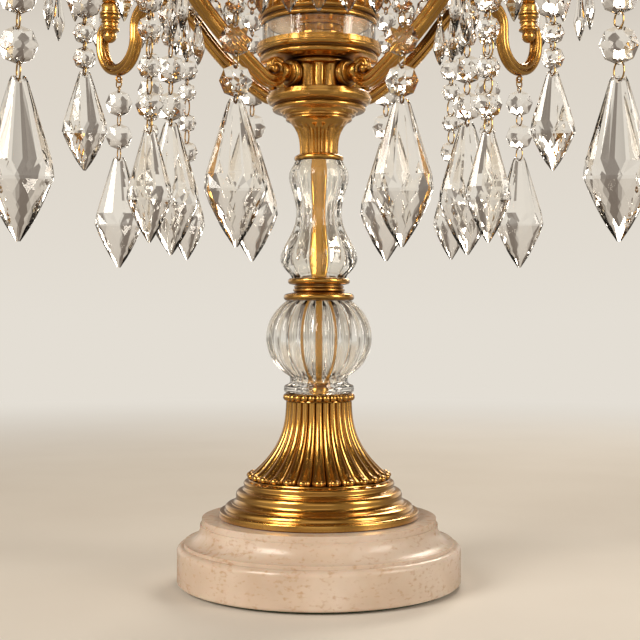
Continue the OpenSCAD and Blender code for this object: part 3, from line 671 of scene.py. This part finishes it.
# %% Panelled vases
VASE = [[0, 15.3], [1.5, 16.0], [3, 17.4], [5, 19.2], [7.5, 20.9], [10, 21.8], [13, 21.6],
        [16, 20.6], [20, 18.4], [24, 16.2], [27.5, 14.6], [31, 13.4], [35.7, 12.8], [39, 12.9],
        [42, 13.3], [46, 14.2], [50, 15.4], [54, 16.6], [57, 17.0], [59.5, 16.7], [61.5, 15.8],
        [63.8, 14.4], [65.7, 13.6]]
VASE_BORE = [[0, 11.4], [3, 13.2], [7, 16.4], [10, 17.0], [14, 16.0], [19, 13.0], [24, 10.2],
             [28, 8.4], [32, 7.6], [40, 7.6], [48, 8.4], [54, 9.6], [59, 9.8], [63, 9.2], [65.7, 8.8]]
PANEL = [0.0, 0.03, 0.14, 0.42, 1.0, 0.42, 0.14, 0.03]


VASE_H, UPPER_VASE_H = 65.7, 48
PANELS, PANEL_DEPTH = 12, 0.05


def glass_vase(name, node, base, wide, tall):
    """A panelled glass vase with a smooth bore. wide and tall are shares of the large one."""
    outer = fluted(name, [[z * tall, r * wide, PANEL_DEPTH] for z, r in VASE], PANELS, PANEL, base, False)
    inner = turned("bore", [[r * wide, z * tall] for z, r in VASE_BORE], 96, False, base)
    vase = walled(outer, inner, base, base + VASE_H * tall)
    finish_piece(vase, pressed_glass, [node], smooth=60)


glass_vase("panelled_glass_vase", "vase_glass", 171.8, 1.0, 1.0)
glass_vase("upper_glass_vase", "upper_glass", 357.0, 0.9, UPPER_VASE_H / VASE_H)

# %% [markdown]
# ## Scroll arms
# Each arm is a cast bar with four reeds. It starts as a small ring in the eye of the scroll,
# and the ring is extruded and rotated about the centre of each arc of its path: out of the
# scroll, up the long sweep, over the crest, down the limb, round the U and in under the candle.

# %% One arm
# Each step of the path is (radius or 0, degrees or length, points, share of the full section).
# STRETCH brings its end exactly under the candle
RISE_1, RISE_2 = 30, 48
STRETCH = 1.0002088
BAR_R, REED_DEPTH = 4.4, 0.34
DIP = (37.5, 278.5)
ARM_PATH = [(3.2, 120, 12, 0.62), (4.8, 135, 14, 0.85), (10, 45, 5, 1), (11, RISE_1, 4, 1),
            (259 * STRETCH, RISE_2 - RISE_1, 12, 1), (74 * STRETCH, -RISE_2, 10, 1), (12, -90, 10, 1),
            (0, 5.9, 2, 1), (19.5 * STRETCH, 180, 22, 1), (0, 4, 1, 1), (9, 90, 10, 0.85)]
SECTION = [1.0, 0.62, 0.24, 0.05, 0.0, 0.05, 0.24, 0.62]


def path_step(point, r, turn):
    """The next point and heading along the path after an arc, or a straight where r is 0."""
    x, z, heading = point
    h = math.radians(heading)
    if r == 0:
        return (x + turn * math.cos(h), z + turn * math.sin(h), heading)
    side = 1 if turn > 0 else -1
    a = math.radians(heading + 90 * side)
    b = math.radians(heading + turn - 90 * side)
    return (x + r * (math.cos(a) + math.cos(b)), z + r * (math.sin(a) + math.sin(b)), heading + turn)


point = (0.0, 0.0, -300.0)
for r, turn, steps, share in ARM_PATH[:3]:
    point = path_step(point, r, turn)
start = (DIP[0] - point[0], DIP[1] - point[1], -300.0)
print("scroll starts at", [round(v, 2) for v in start])


def swept_arm(name):
    """Extrudes the reeded section along the arm's path."""
    deselect()
    points = 4 * len(SECTION)
    bpy.ops.mesh.primitive_circle_add(vertices=points, radius=BAR_R * MM, fill_type="NGON")
    piece = named(name)
    mode("EDIT")
    draw_in(points, SECTION, 0, 0, REED_DEPTH)
    bpy.ops.transform.resize(value=(0.5, 0.5, 1), center_override=(0, 0, 0))
    x, z, heading = start
    tilt(90 - heading, (0, 0))
    bpy.ops.transform.translate(value=(x * MM, 0, z * MM))
    point, share = start, 0.5
    for r, turn, steps, end_share in ARM_PATH:
        first, at_first = share, point
        side = 1 if turn > 0 else -1
        h = math.radians(at_first[2] + 90 * side)
        middle = (at_first[0] + r * math.cos(h), at_first[1] + r * math.sin(h))
        for i in range(1, steps + 1):
            ahead = path_step(at_first, r, turn * i / steps)
            bpy.ops.mesh.extrude_region_move()
            if r:
                tilt(-turn / steps, middle)
            else:
                bpy.ops.transform.translate(
                    value=((ahead[0] - point[0]) * MM, 0, (ahead[1] - point[1]) * MM))
            next_share = first + (end_share - first) * i / steps
            scale = next_share / share
            bpy.ops.transform.resize(
                value=(scale, scale, scale), center_override=(ahead[0] * MM, 0, ahead[1] * MM))
            point, share = ahead, next_share
    mode("OBJECT")
    tidy_mesh(piece)
    return piece, point


def tilt(degrees, middle):
    """Turns what is selected about an axis along Y through [x, z], Z towards X for a positive turn.

    Without a window transform.rotate turns the other way, so the angle's sign is changed.
    """
    bpy.ops.transform.rotate(
        value=-math.radians(degrees), orient_axis="Y",
        center_override=(middle[0] * MM, 0, middle[1] * MM))


arm_bar, tip = swept_arm("arm_bar")
print("arm tip at", [round(v, 2) for v in tip], "faces", len(arm_bar.data.polygons))

# %% [markdown]
# The hub end of an arm has a round pad, and its curl ends in a small turned rosette on both
# sides. At the outer end a turned socket boss with a ball under it takes the candle.

# %% Arm fittings and the four arms
BOSS_RHO, BOSS_TOP, BOSS_H = 203.0, 356.57, 14
outline = [[2.2, 26.0], [4.6, 26.0], [5.0, 26.4], [5.0, 30.0], [4.2, 31.0], [2.2, 31.0]]
pad = placed(turned("arm_pad", outline, 32), (0, 90, 0), (0, 0, ARM_MID_Z))
outline = ([[0, -4.6]] + arc([0, 0], 4.5, -78, 30, 8) + [[4.4, 2.6], [4.6, 3.2]]
           + roll(6.6, 3.4, 5.6, 5) + [[5.2, 5.9], [5.6, 7.4], [5.2, 8.8]] + roll(6.2, 9.0, 10.6, 5)
           + [[5.6, 10.8], [6.2, 12.2], [7.0, 12.6], [7.0, 13.6], [6.6, 14.0], [0, 14.0]])
boss = turned("socket_boss", outline, 40, False, BOSS_TOP - BOSS_H)
placed(boss, at=(BOSS_RHO, 0, 0))
outline = [[0, -4.6], [1.1, -4.4], [1.9, -3.8], [2.3, -3.0], [2.3, 3.0], [1.9, 3.8], [1.1, 4.4], [0, 4.6]]
rosette = placed(turned("rosette", outline, 20, False), (90, 0, 0), (start[0], 0, start[1]))
arm = joined([arm_bar, pad, boss, rosette], "scroll_arm")
for number, turn in enumerate(ARM_TURNS, 1):
    finish_piece(copy_to(arm, f"scroll_arm_{number}", turn), cast_brass, [f"arm_{number}"], smooth=45)
delete(arm)

# %% [markdown]
# ## Canopy
# The crystals round the stem hang from a thin brass dish on top of the reeded drum. Thirty-six
# wire eyes stand under its rim: every sixth one is turned for a long strand.

# %% Canopy dish and its eyes
CANOPY_Z, HOOKS = 351.0, 36
HOOK_RHO, EYE_Z, EYE_R, EYE_WIRE = 84.0, 348.8, 2.0, 0.7
outline = ([[5.2, 0], [60, 0], [62, 0.5], [80, 0.5]] + arc([86.4, 1.9], 2.5, -120, 90, 9)
           + [[84.5, 4.0], [82, 3.0], [64, 2.8], [50, 3.2], [36, 4.2], [32, 5.2], [31, 6.0], [5.2, 6.0]])
eyes = []
for hook in range(HOOKS):
    turn = 10 * hook
    hinge = turn + 90 if hook % 6 == 0 else turn
    deselect()
    bpy.ops.mesh.primitive_torus_add(
        major_segments=16, minor_segments=6, major_radius=EYE_R * MM, minor_radius=EYE_WIRE * MM)
    eyes.append(placed(named(f"eye_{hook}"), (90, 0, hinge - 90), round_stem(HOOK_RHO, turn, EYE_Z)))
canopy = joined([turned("canopy_dish", outline, 128, base=CANOPY_Z)] + eyes, "canopy_dish_with_eyes")
finish_piece(canopy, turned_brass, ["canopy"])

# %% Upper collar
UPPER_COLLAR_Z, MIDDLE_SEAT_Z = 405.0, 415.0
outline = ([[5.2, 0], [12.4, 0]] + roll(13.6, 0.2, 3.8) + [[9.4, 4.1], [8.2, 5.0]]
           + roll(8.8, 5.4, 7.6, 5) + [[7.6, 7.8], [7.4, 10.0], [5.2, 10.0]])
brass_turning("upper_collar_turned", "upper_collar", UPPER_COLLAR_Z, outline)

# %% [markdown]
# ## Candles
# Each candle has a turned cup, a scalloped glass dish to catch drips, an ivory sleeve over the
# holder and a clear flame bulb. They are made once, on the axis, and copied to the four arms
# and the middle.

# %% Places of the candles
SEAT_Z, SLEEVE_H = 15.4, 70.0
candle_places = [(*round_stem(BOSS_RHO, a, BOSS_TOP), a) for a in ARM_TURNS]
candle_places.append((0, 0, MIDDLE_SEAT_Z, 0))
print("candles:", len(candle_places))


def at_candles(template, name):
    """Joins a copy of the template at each candle."""
    copies = [copy_to(template, f"{name}_{n}", a, (x, y, z))
              for n, (x, y, z, a) in enumerate(candle_places)]
    delete(template)
    return joined(copies, name)


# %% Cups, sleeves and dishes
outline = ([[5.4, 0], [6.6, 0]] + roll(7.2, 0.1, 2.7, 5) + [[5.9, 3.2], [5.6, 5.0], [6.2, 6.9]]
           + arc([6.2, 13.4], 6.4, -85, -28, 6) + [[12.4, 10.6], [13.3, 10.9], [13.7, 11.4], [13.7, 12.4],
                                                  [13.2, 13.0], [5.4, 13.0]])
cups = at_candles(turned("cup", outline, 48), "turned_candle_cups")
finish_piece(cups, turned_brass, ["candle_cups"])
outline = [[9.8, 0], [11.0, 0], [11.2, 0.4], [11.2, 2.0], [11.0, 2.4], [11.0, SLEEVE_H - 0.5],
           [10.8, SLEEVE_H - 0.1], [10.4, SLEEVE_H], [10.0, SLEEVE_H - 0.1], [9.8, SLEEVE_H - 0.5]]
sleeves = at_candles(turned("sleeve", outline, 48, base=SEAT_Z), "ivory_candle_sleeves")
finish_piece(sleeves, waxed_card, ["candle_sleeves"])
outline = ([[5.6, 13], [16, 13]] + [[16 + 18 * s, 13 + 5.4 * s ** 1.3] for s in (0.25, 0.5, 0.75, 1)]
           + [[38, 19.4], [41.3, 19.9], [42, 20.6], [42, 21.6], [41.3, 22.4], [38, 21.6]]
           + [[16 + 18 * s, 15.4 + 5.2 * s ** 1.3] for s in (1, 0.75, 0.5, 0.25)] + [[5.6, 15.4]])
RIM_R, SCALLOP = 37, 0.975
dish = turned("dish", outline, 96)
only(dish)
mode("EDIT")
# The rim's points are 3.75 degrees apart, and two in four are drawn in
pick(lambda v: math.hypot(v.x, v.y) > RIM_R and round(math.degrees(math.atan2(v.y, v.x)) / 3.75) % 4 < 2)
bpy.ops.transform.resize(value=(SCALLOP, SCALLOP, 1), center_override=(0, 0, 0))
mode("OBJECT")
dishes = at_candles(dish, "scalloped_drip_dishes")
finish_piece(dishes, pressed_glass, ["drip_dishes"], smooth=50)

# %% [markdown]
# ## Bulbs
# A small-screw candle bulb is a thin blown envelope on a rolled brass screw base, with a glass
# stem inside that holds the filament. The base's thread is a few rolled rings.

# %% Bulbs
BULB_SHELL = [[8.2, 1.0], [9.0, 3.4], [11.0, 6.2], [13.2, 9.4], [15.0, 14], [15.9, 19], [15.9, 23],
              [15.0, 30], [13.3, 37], [11.2, 43], [8.8, 49], [6.4, 54], [4.2, 59], [2.4, 63.4],
              [1.5, 66], [0.8, 67.5], [0, 68]]


WALL, THREADS, PITCH = 0.7, 5, 3.1
inner = [[max(r - WALL, 0), h - WALL * (h > 60)] for r, h in reversed(BULB_SHELL)]
shell = turned("shell", BULB_SHELL + inner[:-1] + [[7.5, 1.0]], 40)
outline = [[0, -21], [3.2, -21], [3.6, -19.6], [6.8, -18.2]]
for n in range(THREADS):
    low = -17.6 + PITCH * n
    outline += [[7.4, low], [8.3, low + 0.8], [8.3, low + 1.5], [7.4, low + 2.3]]
outline += [[7.9, -1.6], [8.5, -0.6], [8.5, 1.2], [7.6, 1.2], [7.2, -1.0], [0, -1.0]]
base = turned("base", outline, 40, False)
outline = [[0, -1.2], [4.4, -1.2], [3.0, 6], [1.4, 12], [1.1, 22], [1.8, 24], [0, 24.6]]
stem = turned("stem", outline, 16, False)
filament = [turned("coil", [[2.6, 27.0], [2.6, 27.5], [2.9, 27.5], [2.9, 27.0]], 24)]
for side in (-1, 1):
    deselect()
    bpy.ops.mesh.primitive_cylinder_add(vertices=6, radius=0.2 * MM, depth=4 * MM)
    filament.append(placed(named("support"), (0, 8 * side, 0), (2.75 * side, 0, 25.2)))
filament = joined(filament, "filament")

# %% A bulb on each candle
parts = [(shell, "blown_bulb", bulb_glass, 60), (base, "screw_base", turned_brass, 40),
         (stem, "bulb_stem", bulb_glass, 40), (filament, "filament", filament_metal, 40)]
for number, (x, y, z, turn) in enumerate(candle_places, 1):
    bulb = f"bulb_{number}"
    for part, name, material, smooth in parts:
        piece = copy_to(part, f"{name}_{number}", turn, (x, y, z + SEAT_Z + SLEEVE_H))
        finish_piece(piece, material, [bulb] if part is shell else [], bulb, smooth)
delete(shell, base, stem, filament)

# %% [markdown]
# ## Cut crystals
# A crystal is cut with flat facets that meet in sharp edges, so it is the convex hull of a few
# rings of points, most of them turned half a step against the last, and it is shaded flat. A
# hole is drilled where the wire passes.

# %% Cutting a crystal
HOLE_INSET, HOLE_R = 1.7, 1.1


def cut_stone(name, rings, upright=True, sides=8):
    """The hull of rings [height, half width, half depth, turned by half a side]."""
    deselect()
    bpy.ops.mesh.primitive_circle_add(vertices=sides, radius=1 * MM)
    piece = named(name)
    mode("EDIT")
    for n, (height, wide, deep, turned_by_half) in enumerate(rings):
        if n:
            bpy.ops.mesh.primitive_circle_add(vertices=sides, radius=1 * MM)
        if turned_by_half:
            bpy.ops.transform.rotate(
                value=math.pi / sides, orient_axis="Z", center_override=(0, 0, 0))
        bpy.ops.transform.resize(value=(wide, deep, 1), center_override=(0, 0, 0))
        bpy.ops.transform.translate(value=(0, 0, height * MM))
    bpy.ops.mesh.select_all(action="SELECT")
    bpy.ops.mesh.convex_hull()
    if not upright:
        bpy.ops.transform.rotate(
            value=math.radians(90), orient_axis="X", center_override=(0, 0, 0))
    mode("OBJECT")
    tidy_mesh(piece)
    return piece


def drilled(piece, heights):
    """Drills holes along Y at the heights."""
    for height in heights:
        deselect()
        bpy.ops.mesh.primitive_cylinder_add(
            vertices=10, radius=HOLE_R * MM, depth=30 * MM, location=(0, 0, height * MM),
            rotation=(math.radians(90), 0, 0))
        drill = named("drill")
        only(piece)
        cut = piece.modifiers.new("hole", "BOOLEAN")
        cut.operation, cut.object, cut.solver = "DIFFERENCE", drill, "EXACT"
        bpy.ops.object.modifier_apply(modifier=cut.name)
        delete(drill)
    return piece


def bead(d):
    """An octagon with its top hole at the origin."""
    r = d / 2
    half = [[0.9, r, r, False], [2.0, 0.64 * r, 0.64 * r, True], [2.7, 0.26 * r, 0.26 * r, False]]
    rings = [[-y, a, b, c] for y, a, b, c in reversed(half)] + half
    stone = placed(cut_stone(f"octagon_{d}", rings, upright=False), at=(0, 0, HOLE_INSET - r))
    return drilled(stone, [0, 2 * HOLE_INSET - d])


def almond(name, long, wide, deep, top):
    """A pendant with its hole at the origin, widest a little below the middle.

    Long facets run down to the belly, and rows of lozenges from there to the tip. Small ones
    have fewer sides and rows.
    """
    a, b = wide / 2, deep / 2
    sides = 14 if long > 40 else 8
    shape = [[0, 0.2, 0.26, False], [0.03, 0.27, 0.34, True], [0.5, 0.93, 0.94, True],
             [0.6, 1.0, 1.0, False], [0.69, 0.83, 0.84, True], [0.77, 0.66, 0.68, False],
             [0.84, 0.49, 0.52, True], [0.9, 0.33, 0.36, False], [0.985, 0.06, 0.08, True]]
    if sides == 8:
        shape = [row for row in shape if row[0] not in (0.69, 0.84)]
    rings = [[top - s * long, x * a, y * b, turn] for s, x, y, turn in shape]
    return drilled(cut_stone(name, rings, sides=sides), [0])


# %% [markdown]
# ## Strands
# A strand is a chain of octagons on gilt wire links with an almond pendant at its end. Each
# kind is put together once at the origin, crystals and wires apart, and copied to its eyes. The
# first ring is turned to the eye that it swings on.

# %% Links and strands
WIRE_R, HOOK_R, LINK_R, LINK_TURN, LINK_NARROW = 0.45, 3.0, 2.2, 28, 0.75
# Heights below the eye of a strand's first link, its first hole, and a short drop's first hole
FIRST_LINK_Z, FIRST_HOLE_Z, SHORT_HOLE_Z = -6.85, -9.05, -6
stones = {}


def ring_at(z, r, narrow=1.0, turn=0):
    """A wire ring in the plane of Y and Z, narrowed across, then turned about Z."""
    deselect()
    bpy.ops.mesh.primitive_torus_add(
        major_segments=18, minor_segments=6, major_radius=r * MM, minor_radius=WIRE_R * MM)
    piece = placed(named("wire_ring"), (0, 90, 0))
    piece.scale = (1, narrow, 1)
    return placed(piece, (0, 0, turn), (0, 0, z))


def chain(beads, last, z):
    """Beads of [diameter, radius of the link below] from the hole at height z, and a last stone."""
    glass, wires = [], []
    for d, link in beads:
        if d not in stones:
            stones[d] = bead(d)
        glass.append(copy_to(stones[d], "bead", at=(0, 0, z)))
        z -= d - 2 * HOLE_INSET
        if last:
            wires.append(ring_at(z - link, link, LINK_NARROW, LINK_TURN))
            z -= 2 * link
    if last:
        if last[0] not in stones:
            stones[last[0]] = almond(*last)
        glass.append(copy_to(stones[last[0]], "stone", at=(0, 0, z)))
    return glass, wires


def strand_kind(name, beads, last):
    """Templates of the crystals and links of one kind of strand, hung from the origin."""
    glass, wires = chain(beads, last, FIRST_HOLE_Z)
    wires.append(ring_at(FIRST_LINK_Z, LINK_R, LINK_NARROW, LINK_TURN))
    return joined(glass, name + "_crystals"), joined(wires, name + "_links")


LARGE = ("large_almond", 76, 33, 13, 2.1)
MIDDLE = ("middle_almond", 57, 23.1, 10, 2.1)
SMALL = ("small_almond", 47.9, 21.8, 9, 2.1)
strand_kinds = {
    "canopy_strand": ([[13, 2.2], [13, 2.2], [11, 3.7], [17, 3.7], [17, 2.2]], LARGE),
    "inner_strand": ([[13, 2.2], [14, 2.2], [12, 5.5], [12, 4.5], [14, 4.5]], MIDDLE),
    "crest_strand": ([[13, 3.7], [13, 3.7], [17, 2.2], [11, 2.2], [11, 2.2]], SMALL),
    "outer_strand": ([[18, 4], [18, 4.5]], LARGE)}
strand_eyes = {"inner_strand": (118.98, 335.37), "crest_strand": (156.99, 348.96),
               "outer_strand": (192.5, 311.67)}
for kind, (beads, last) in strand_kinds.items():
    crystals, links = strand_kind(kind, beads, last)
    hook = ring_at(-HOOK_R, HOOK_R)
    if kind == "canopy_strand":
        places = [(60 * n, HOOK_RHO, EYE_Z, 60 * n + 90) for n in range(1, 7)]
    else:
        places = [(a, *strand_eyes[kind], a) for a in ARM_TURNS]
    for number, (turn, rho, z, hinge) in enumerate(places, 1):
        spot = round_stem(rho, turn, z)
        node = f"{kind}_{number}"
        glass = copy_to(crystals, f"{node}_crystals", at=spot)
        finish_piece(glass, cut_crystal, [node], node, smooth=0)
        wires = joined([copy_to(links, f"{node}_wires", at=spot),
                        copy_to(hook, f"{node}_hook", hinge - 90, spot)], f"{node}_wires")
        finish_piece(wires, gilt_wire, [], node, smooth=60)
    delete(crystals, links, hook)

# %% Short drops under the canopy
OVER_ARMS = [a + s for a in ARM_TURNS for s in (-5, 5)]
DROP = ("short_drop", 27, 12, 6, 2.3)
DROP_BEADS = [[14, 3.4]]
glass, wires = chain(DROP_BEADS, DROP, SHORT_HOLE_Z)
long_glass = joined(glass, "short_drop_crystals")
long_wires = joined(wires + [ring_at(-HOOK_R, HOOK_R)], "short_drop_wires")
short_glass = chain(DROP_BEADS, None, SHORT_HOLE_Z)[0][0]
short_wires = ring_at(-HOOK_R, HOOK_R)
glass, wires = [], []
for hook in range(HOOKS):
    if hook % 6:
        turn = 10 * hook
        over = turn in OVER_ARMS
        spot = round_stem(HOOK_RHO, turn, EYE_Z)
        glass.append(copy_to(short_glass if over else long_glass, "drop", turn - 90, spot))
        wires.append(copy_to(short_wires if over else long_wires, "wire", turn - 90, spot))
delete(long_glass, long_wires, short_glass, short_wires)
finish_piece(joined(glass, "canopy_short_drops"), cut_crystal, ["canopy_drops"], smooth=0)
finish_piece(joined(wires, "canopy_short_drop_wires"), gilt_wire, smooth=60)

# %% Drops on the dishes
DISH_DROP = ("dish_drop", 34, 12, 7, 2.3)
DISH_DROPS, HOLE_RHO, HOLE_Z, RIM_RING_R = 8, 41.9, 21.2, 3.4
drop = almond(*DISH_DROP)
ring = ring_at(0, RIM_RING_R)
glass, wires = [], []
for x, y, z, a in candle_places:
    for n in range(DISH_DROPS):
        turn = a + 360 / DISH_DROPS * (n + 0.5)
        out, side, up = round_stem(HOLE_RHO, turn, HOLE_Z)
        wires.append(copy_to(ring, "wire", turn + 90, (x + out, y + side, z + up)))
        glass.append(copy_to(drop, "drop", turn + 90, (x + out, y + side, z + up - RIM_RING_R)))
delete(drop, ring, *stones.values())
finish_piece(joined(glass, "dish_almond_drops"), cut_crystal, ["dish_drops"], smooth=0)
finish_piece(joined(wires, "dish_drop_wires"), gilt_wire, smooth=60)

# %% [markdown]
# ## Pieces that stay as they are
# The marble, the felt, the hidden steel and the plain tubes have their right shape already, so
# they only get a finish.

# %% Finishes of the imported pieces
kept = {"marble_base": marble, "felt_pad": wool_felt, "cord_bushing": turned_brass,
        "base_flange_nut": zinc_steel, "threaded_rod": zinc_steel, "rod_sleeve": bright_brass,
        "arm_screws": zinc_steel, "arm_eyes": cast_brass, "lamp_sockets": porcelain,
        "gallery_glass": pressed_glass}
for node, material in kept.items():
    cover(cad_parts[node], material)
print("finished as packed:", ", ".join(kept))

# %% [markdown]
# ## Floor, light and camera
# A pale floor runs out to a pale horizon. What the brass mirrors and what the crystals bend
# into view is darker: the world darkens towards the zenith, the floor is painted darker in
# reflections, and painted dark brown bands, seen only in reflections and through glass, stand
# round the lamp to draw lines on polished metal and cut glass. Three soft boxes light it: a key
# from the left, a weaker fill from the right and one behind.

# %% Rays that see the background
HORIZON = "#e4ded4"


def seen_rays(tree):
    """1 for camera, glossy and transmission rays."""
    rays = add_node(tree, "LightPath").outputs
    seen = add_node(tree, "Math", {
        0: rays["Is Camera Ray"], 1: rays["Is Glossy Ray"]}, operation="MAXIMUM")
    seen = add_node(tree, "Math", {
        0: seen, 1: rays["Is Transmission Ray"]}, operation="MAXIMUM")
    return seen


def mirror_rays(tree):
    """1 for rays off a shiny face. Rays through glass count as glossy too, so they are taken off."""
    rays = add_node(tree, "LightPath").outputs
    return add_node(tree, "Math", {
        0: rays["Is Glossy Ray"], 1: rays["Is Transmission Ray"]},
        operation="SUBTRACT", use_clamp=True)


# %% Floor
deselect()
# Metres: how far the floor reaches, and how far below the felt it lies
FLOOR_R, FLOOR_GAP = 6, 0.0002
bpy.ops.mesh.primitive_circle_add(
    vertices=96, radius=FLOOR_R, fill_type="NGON", location=(0, 0, -FLOOR_GAP))
floor = named("floor")
floor_finish, tree, place = new_material("matt_pale_plaster")
mottle = add_node(tree, "TexNoise", {"Vector": place, "Scale": 6.0, "Detail": 3.0})
tone = add_node(tree, "ValToRGB", {"Fac": mottle})
set_ramp(tone, [(0.3, "#e0dad0"), (0.7, "#e6e1d8")])
# Painted reflection: in what shiny faces mirror, the floor is darker and its far glow dimmer
share = add_node(tree, "MapRange", {
    "Value": mirror_rays(tree), "To Min": 1.0, "To Max": 0.34})
tone_painted_darker_in_reflections = add_node(tree, "VectorMath", {
    0: tone, "Scale": share}, operation="SCALE")
matt = add_node(tree, "BsdfPrincipled", {"Base Color": tone_painted_darker_in_reflections, "Roughness": 0.6})
far_glow = add_node(tree, "Emission", {
    "Color": HORIZON, "Strength": share})
away = add_node(tree, "VectorMath", {0: place}, operation="LENGTH")
fade = add_node(tree, "MapRange", {
    "Value": away.outputs["Value"], "From Min": 0.35, "From Max": 1.6}, interpolation_type="SMOOTHSTEP")
seen_share = add_node(tree, "Math", {
    0: seen_rays(tree), 1: fade}, operation="MULTIPLY")
blend = add_node(tree, "MixShader", {
    0: seen_share, 1: matt, 2: far_glow})
close_material(tree, blend)
cover(floor, floor_finish)

# %% World
world = bpy.data.worlds.new("pale_studio")
world.use_nodes = True
bpy.context.scene.world = world
tree = world.node_tree
tree.nodes.clear()
way = add_node(tree, "TexCoord").outputs["Generated"]
axes = add_node(tree, "SeparateXYZ", {"Vector": way}).outputs
sky = add_node(tree, "ValToRGB", {"Fac": axes["Z"]})
set_ramp(sky, [(0.0, HORIZON), (0.22, "#dcd4c8"),
               (0.5, "#7d6b58"), (0.85, "#33281e")])
# Painted refraction: through glass a paler sky is seen, darkening less, so that clear glass stays clear
painted_clear_sky = add_node(tree, "ValToRGB", {"Fac": axes["Z"]})
set_ramp(painted_clear_sky, [(0.0, HORIZON), (0.4, "#cfc5b8"),
                     (0.85, "#6f6152")])
bearing = add_node(tree, "Math", {0: axes["Y"], 1: axes["X"]}, operation="ARCTAN2")
through = add_node(tree, "LightPath").outputs["Is Transmission Ray"]


def painted_dark_bands(count, wave, low, high, most, ray):
    """How much of a painted dark band a kind of ray sees, for that many bands round the lamp."""
    many = add_node(tree, "Math", {0: bearing, 1: float(count)}, operation="MULTIPLY")
    swing = add_node(tree, "Math", {0: many}, operation=wave)
    part = add_node(tree, "MapRange", {
        "Value": swing, "From Min": low, "From Max": high, "To Min": 0.0, "To Max": most},
        interpolation_type="SMOOTHSTEP")
    return add_node(tree, "Math", {
        0: part, 1: ray}, operation="MULTIPLY")


# Painted reflections and refractions: dark brown bands round the lamp that only mirrored rays and rays
# through glass see
painted_reflection_bands = painted_dark_bands(5, "SINE", -0.3, 0.7, 0.8, mirror_rays(tree))
painted_refraction_bands = painted_dark_bands(8, "COSINE", 0.0, -0.8, 0.75, through)
dark = add_node(tree, "Math", {0: painted_reflection_bands, 1: painted_refraction_bands}, operation="ADD")
seen_sky = add_node(tree, "Mix", {
    0: through, 6: sky, 7: painted_clear_sky},
    data_type="RGBA")
sky_with_painted_bands = add_node(tree, "Mix", {
    0: dark, 6: seen_sky.outputs[2], 7: "#3d2614"}, data_type="RGBA")
strength = add_node(tree, "MapRange", {
    "Value": seen_rays(tree), "To Min": 0.9, "To Max": 1.0})
shine = add_node(tree, "Background", {
    "Color": sky_with_painted_bands.outputs[2], "Strength": strength})
add_node(tree, "OutputWorld", {"Surface": shine})


# %% Soft boxes
LAMP_MIDDLE = 0.28


def soft_box(name, place, power, wide, tall, tint):
    """An area lamp that looks at the middle of the lamp."""
    bpy.ops.object.light_add(type="AREA", location=place)
    lamp = bpy.context.object
    lamp.name = name
    lamp.data.shape, lamp.data.size, lamp.data.size_y = "RECTANGLE", wide, tall
    lamp.data.energy = power
    lamp.data.color = hex_colour(tint)[:3]
    aim = Vector((0, 0, LAMP_MIDDLE)) - Vector(place)
    lamp.rotation_euler = aim.to_track_quat("-Z", "Y").to_euler()


soft_box("key_box", (-1.1, -1.0, 1.0), 22, 0.7, 0.9, "#fff7ec")
soft_box("fill_box", (1.3, -0.7, 0.7), 9, 0.5, 0.9, "#fff6ea")
soft_box("back_box", (0.5, 1.3, 1.1), 12, 0.8, 0.5, "#fff3e2")

# %% Camera
# Metres from the stem's foot, fitted to the sag of the round mouldings in the picture
CAMERA_AT = (0.0006, -0.680, 0.148)
bpy.ops.object.camera_add(location=CAMERA_AT, rotation=(math.radians(90), 0, 0))
camera = bpy.context.object
camera.name = "photo_view"
camera.data.lens = 67.5
camera.data.sensor_width = 36
bpy.context.scene.camera = camera
bpy.context.scene.view_settings.view_transform = "Standard"
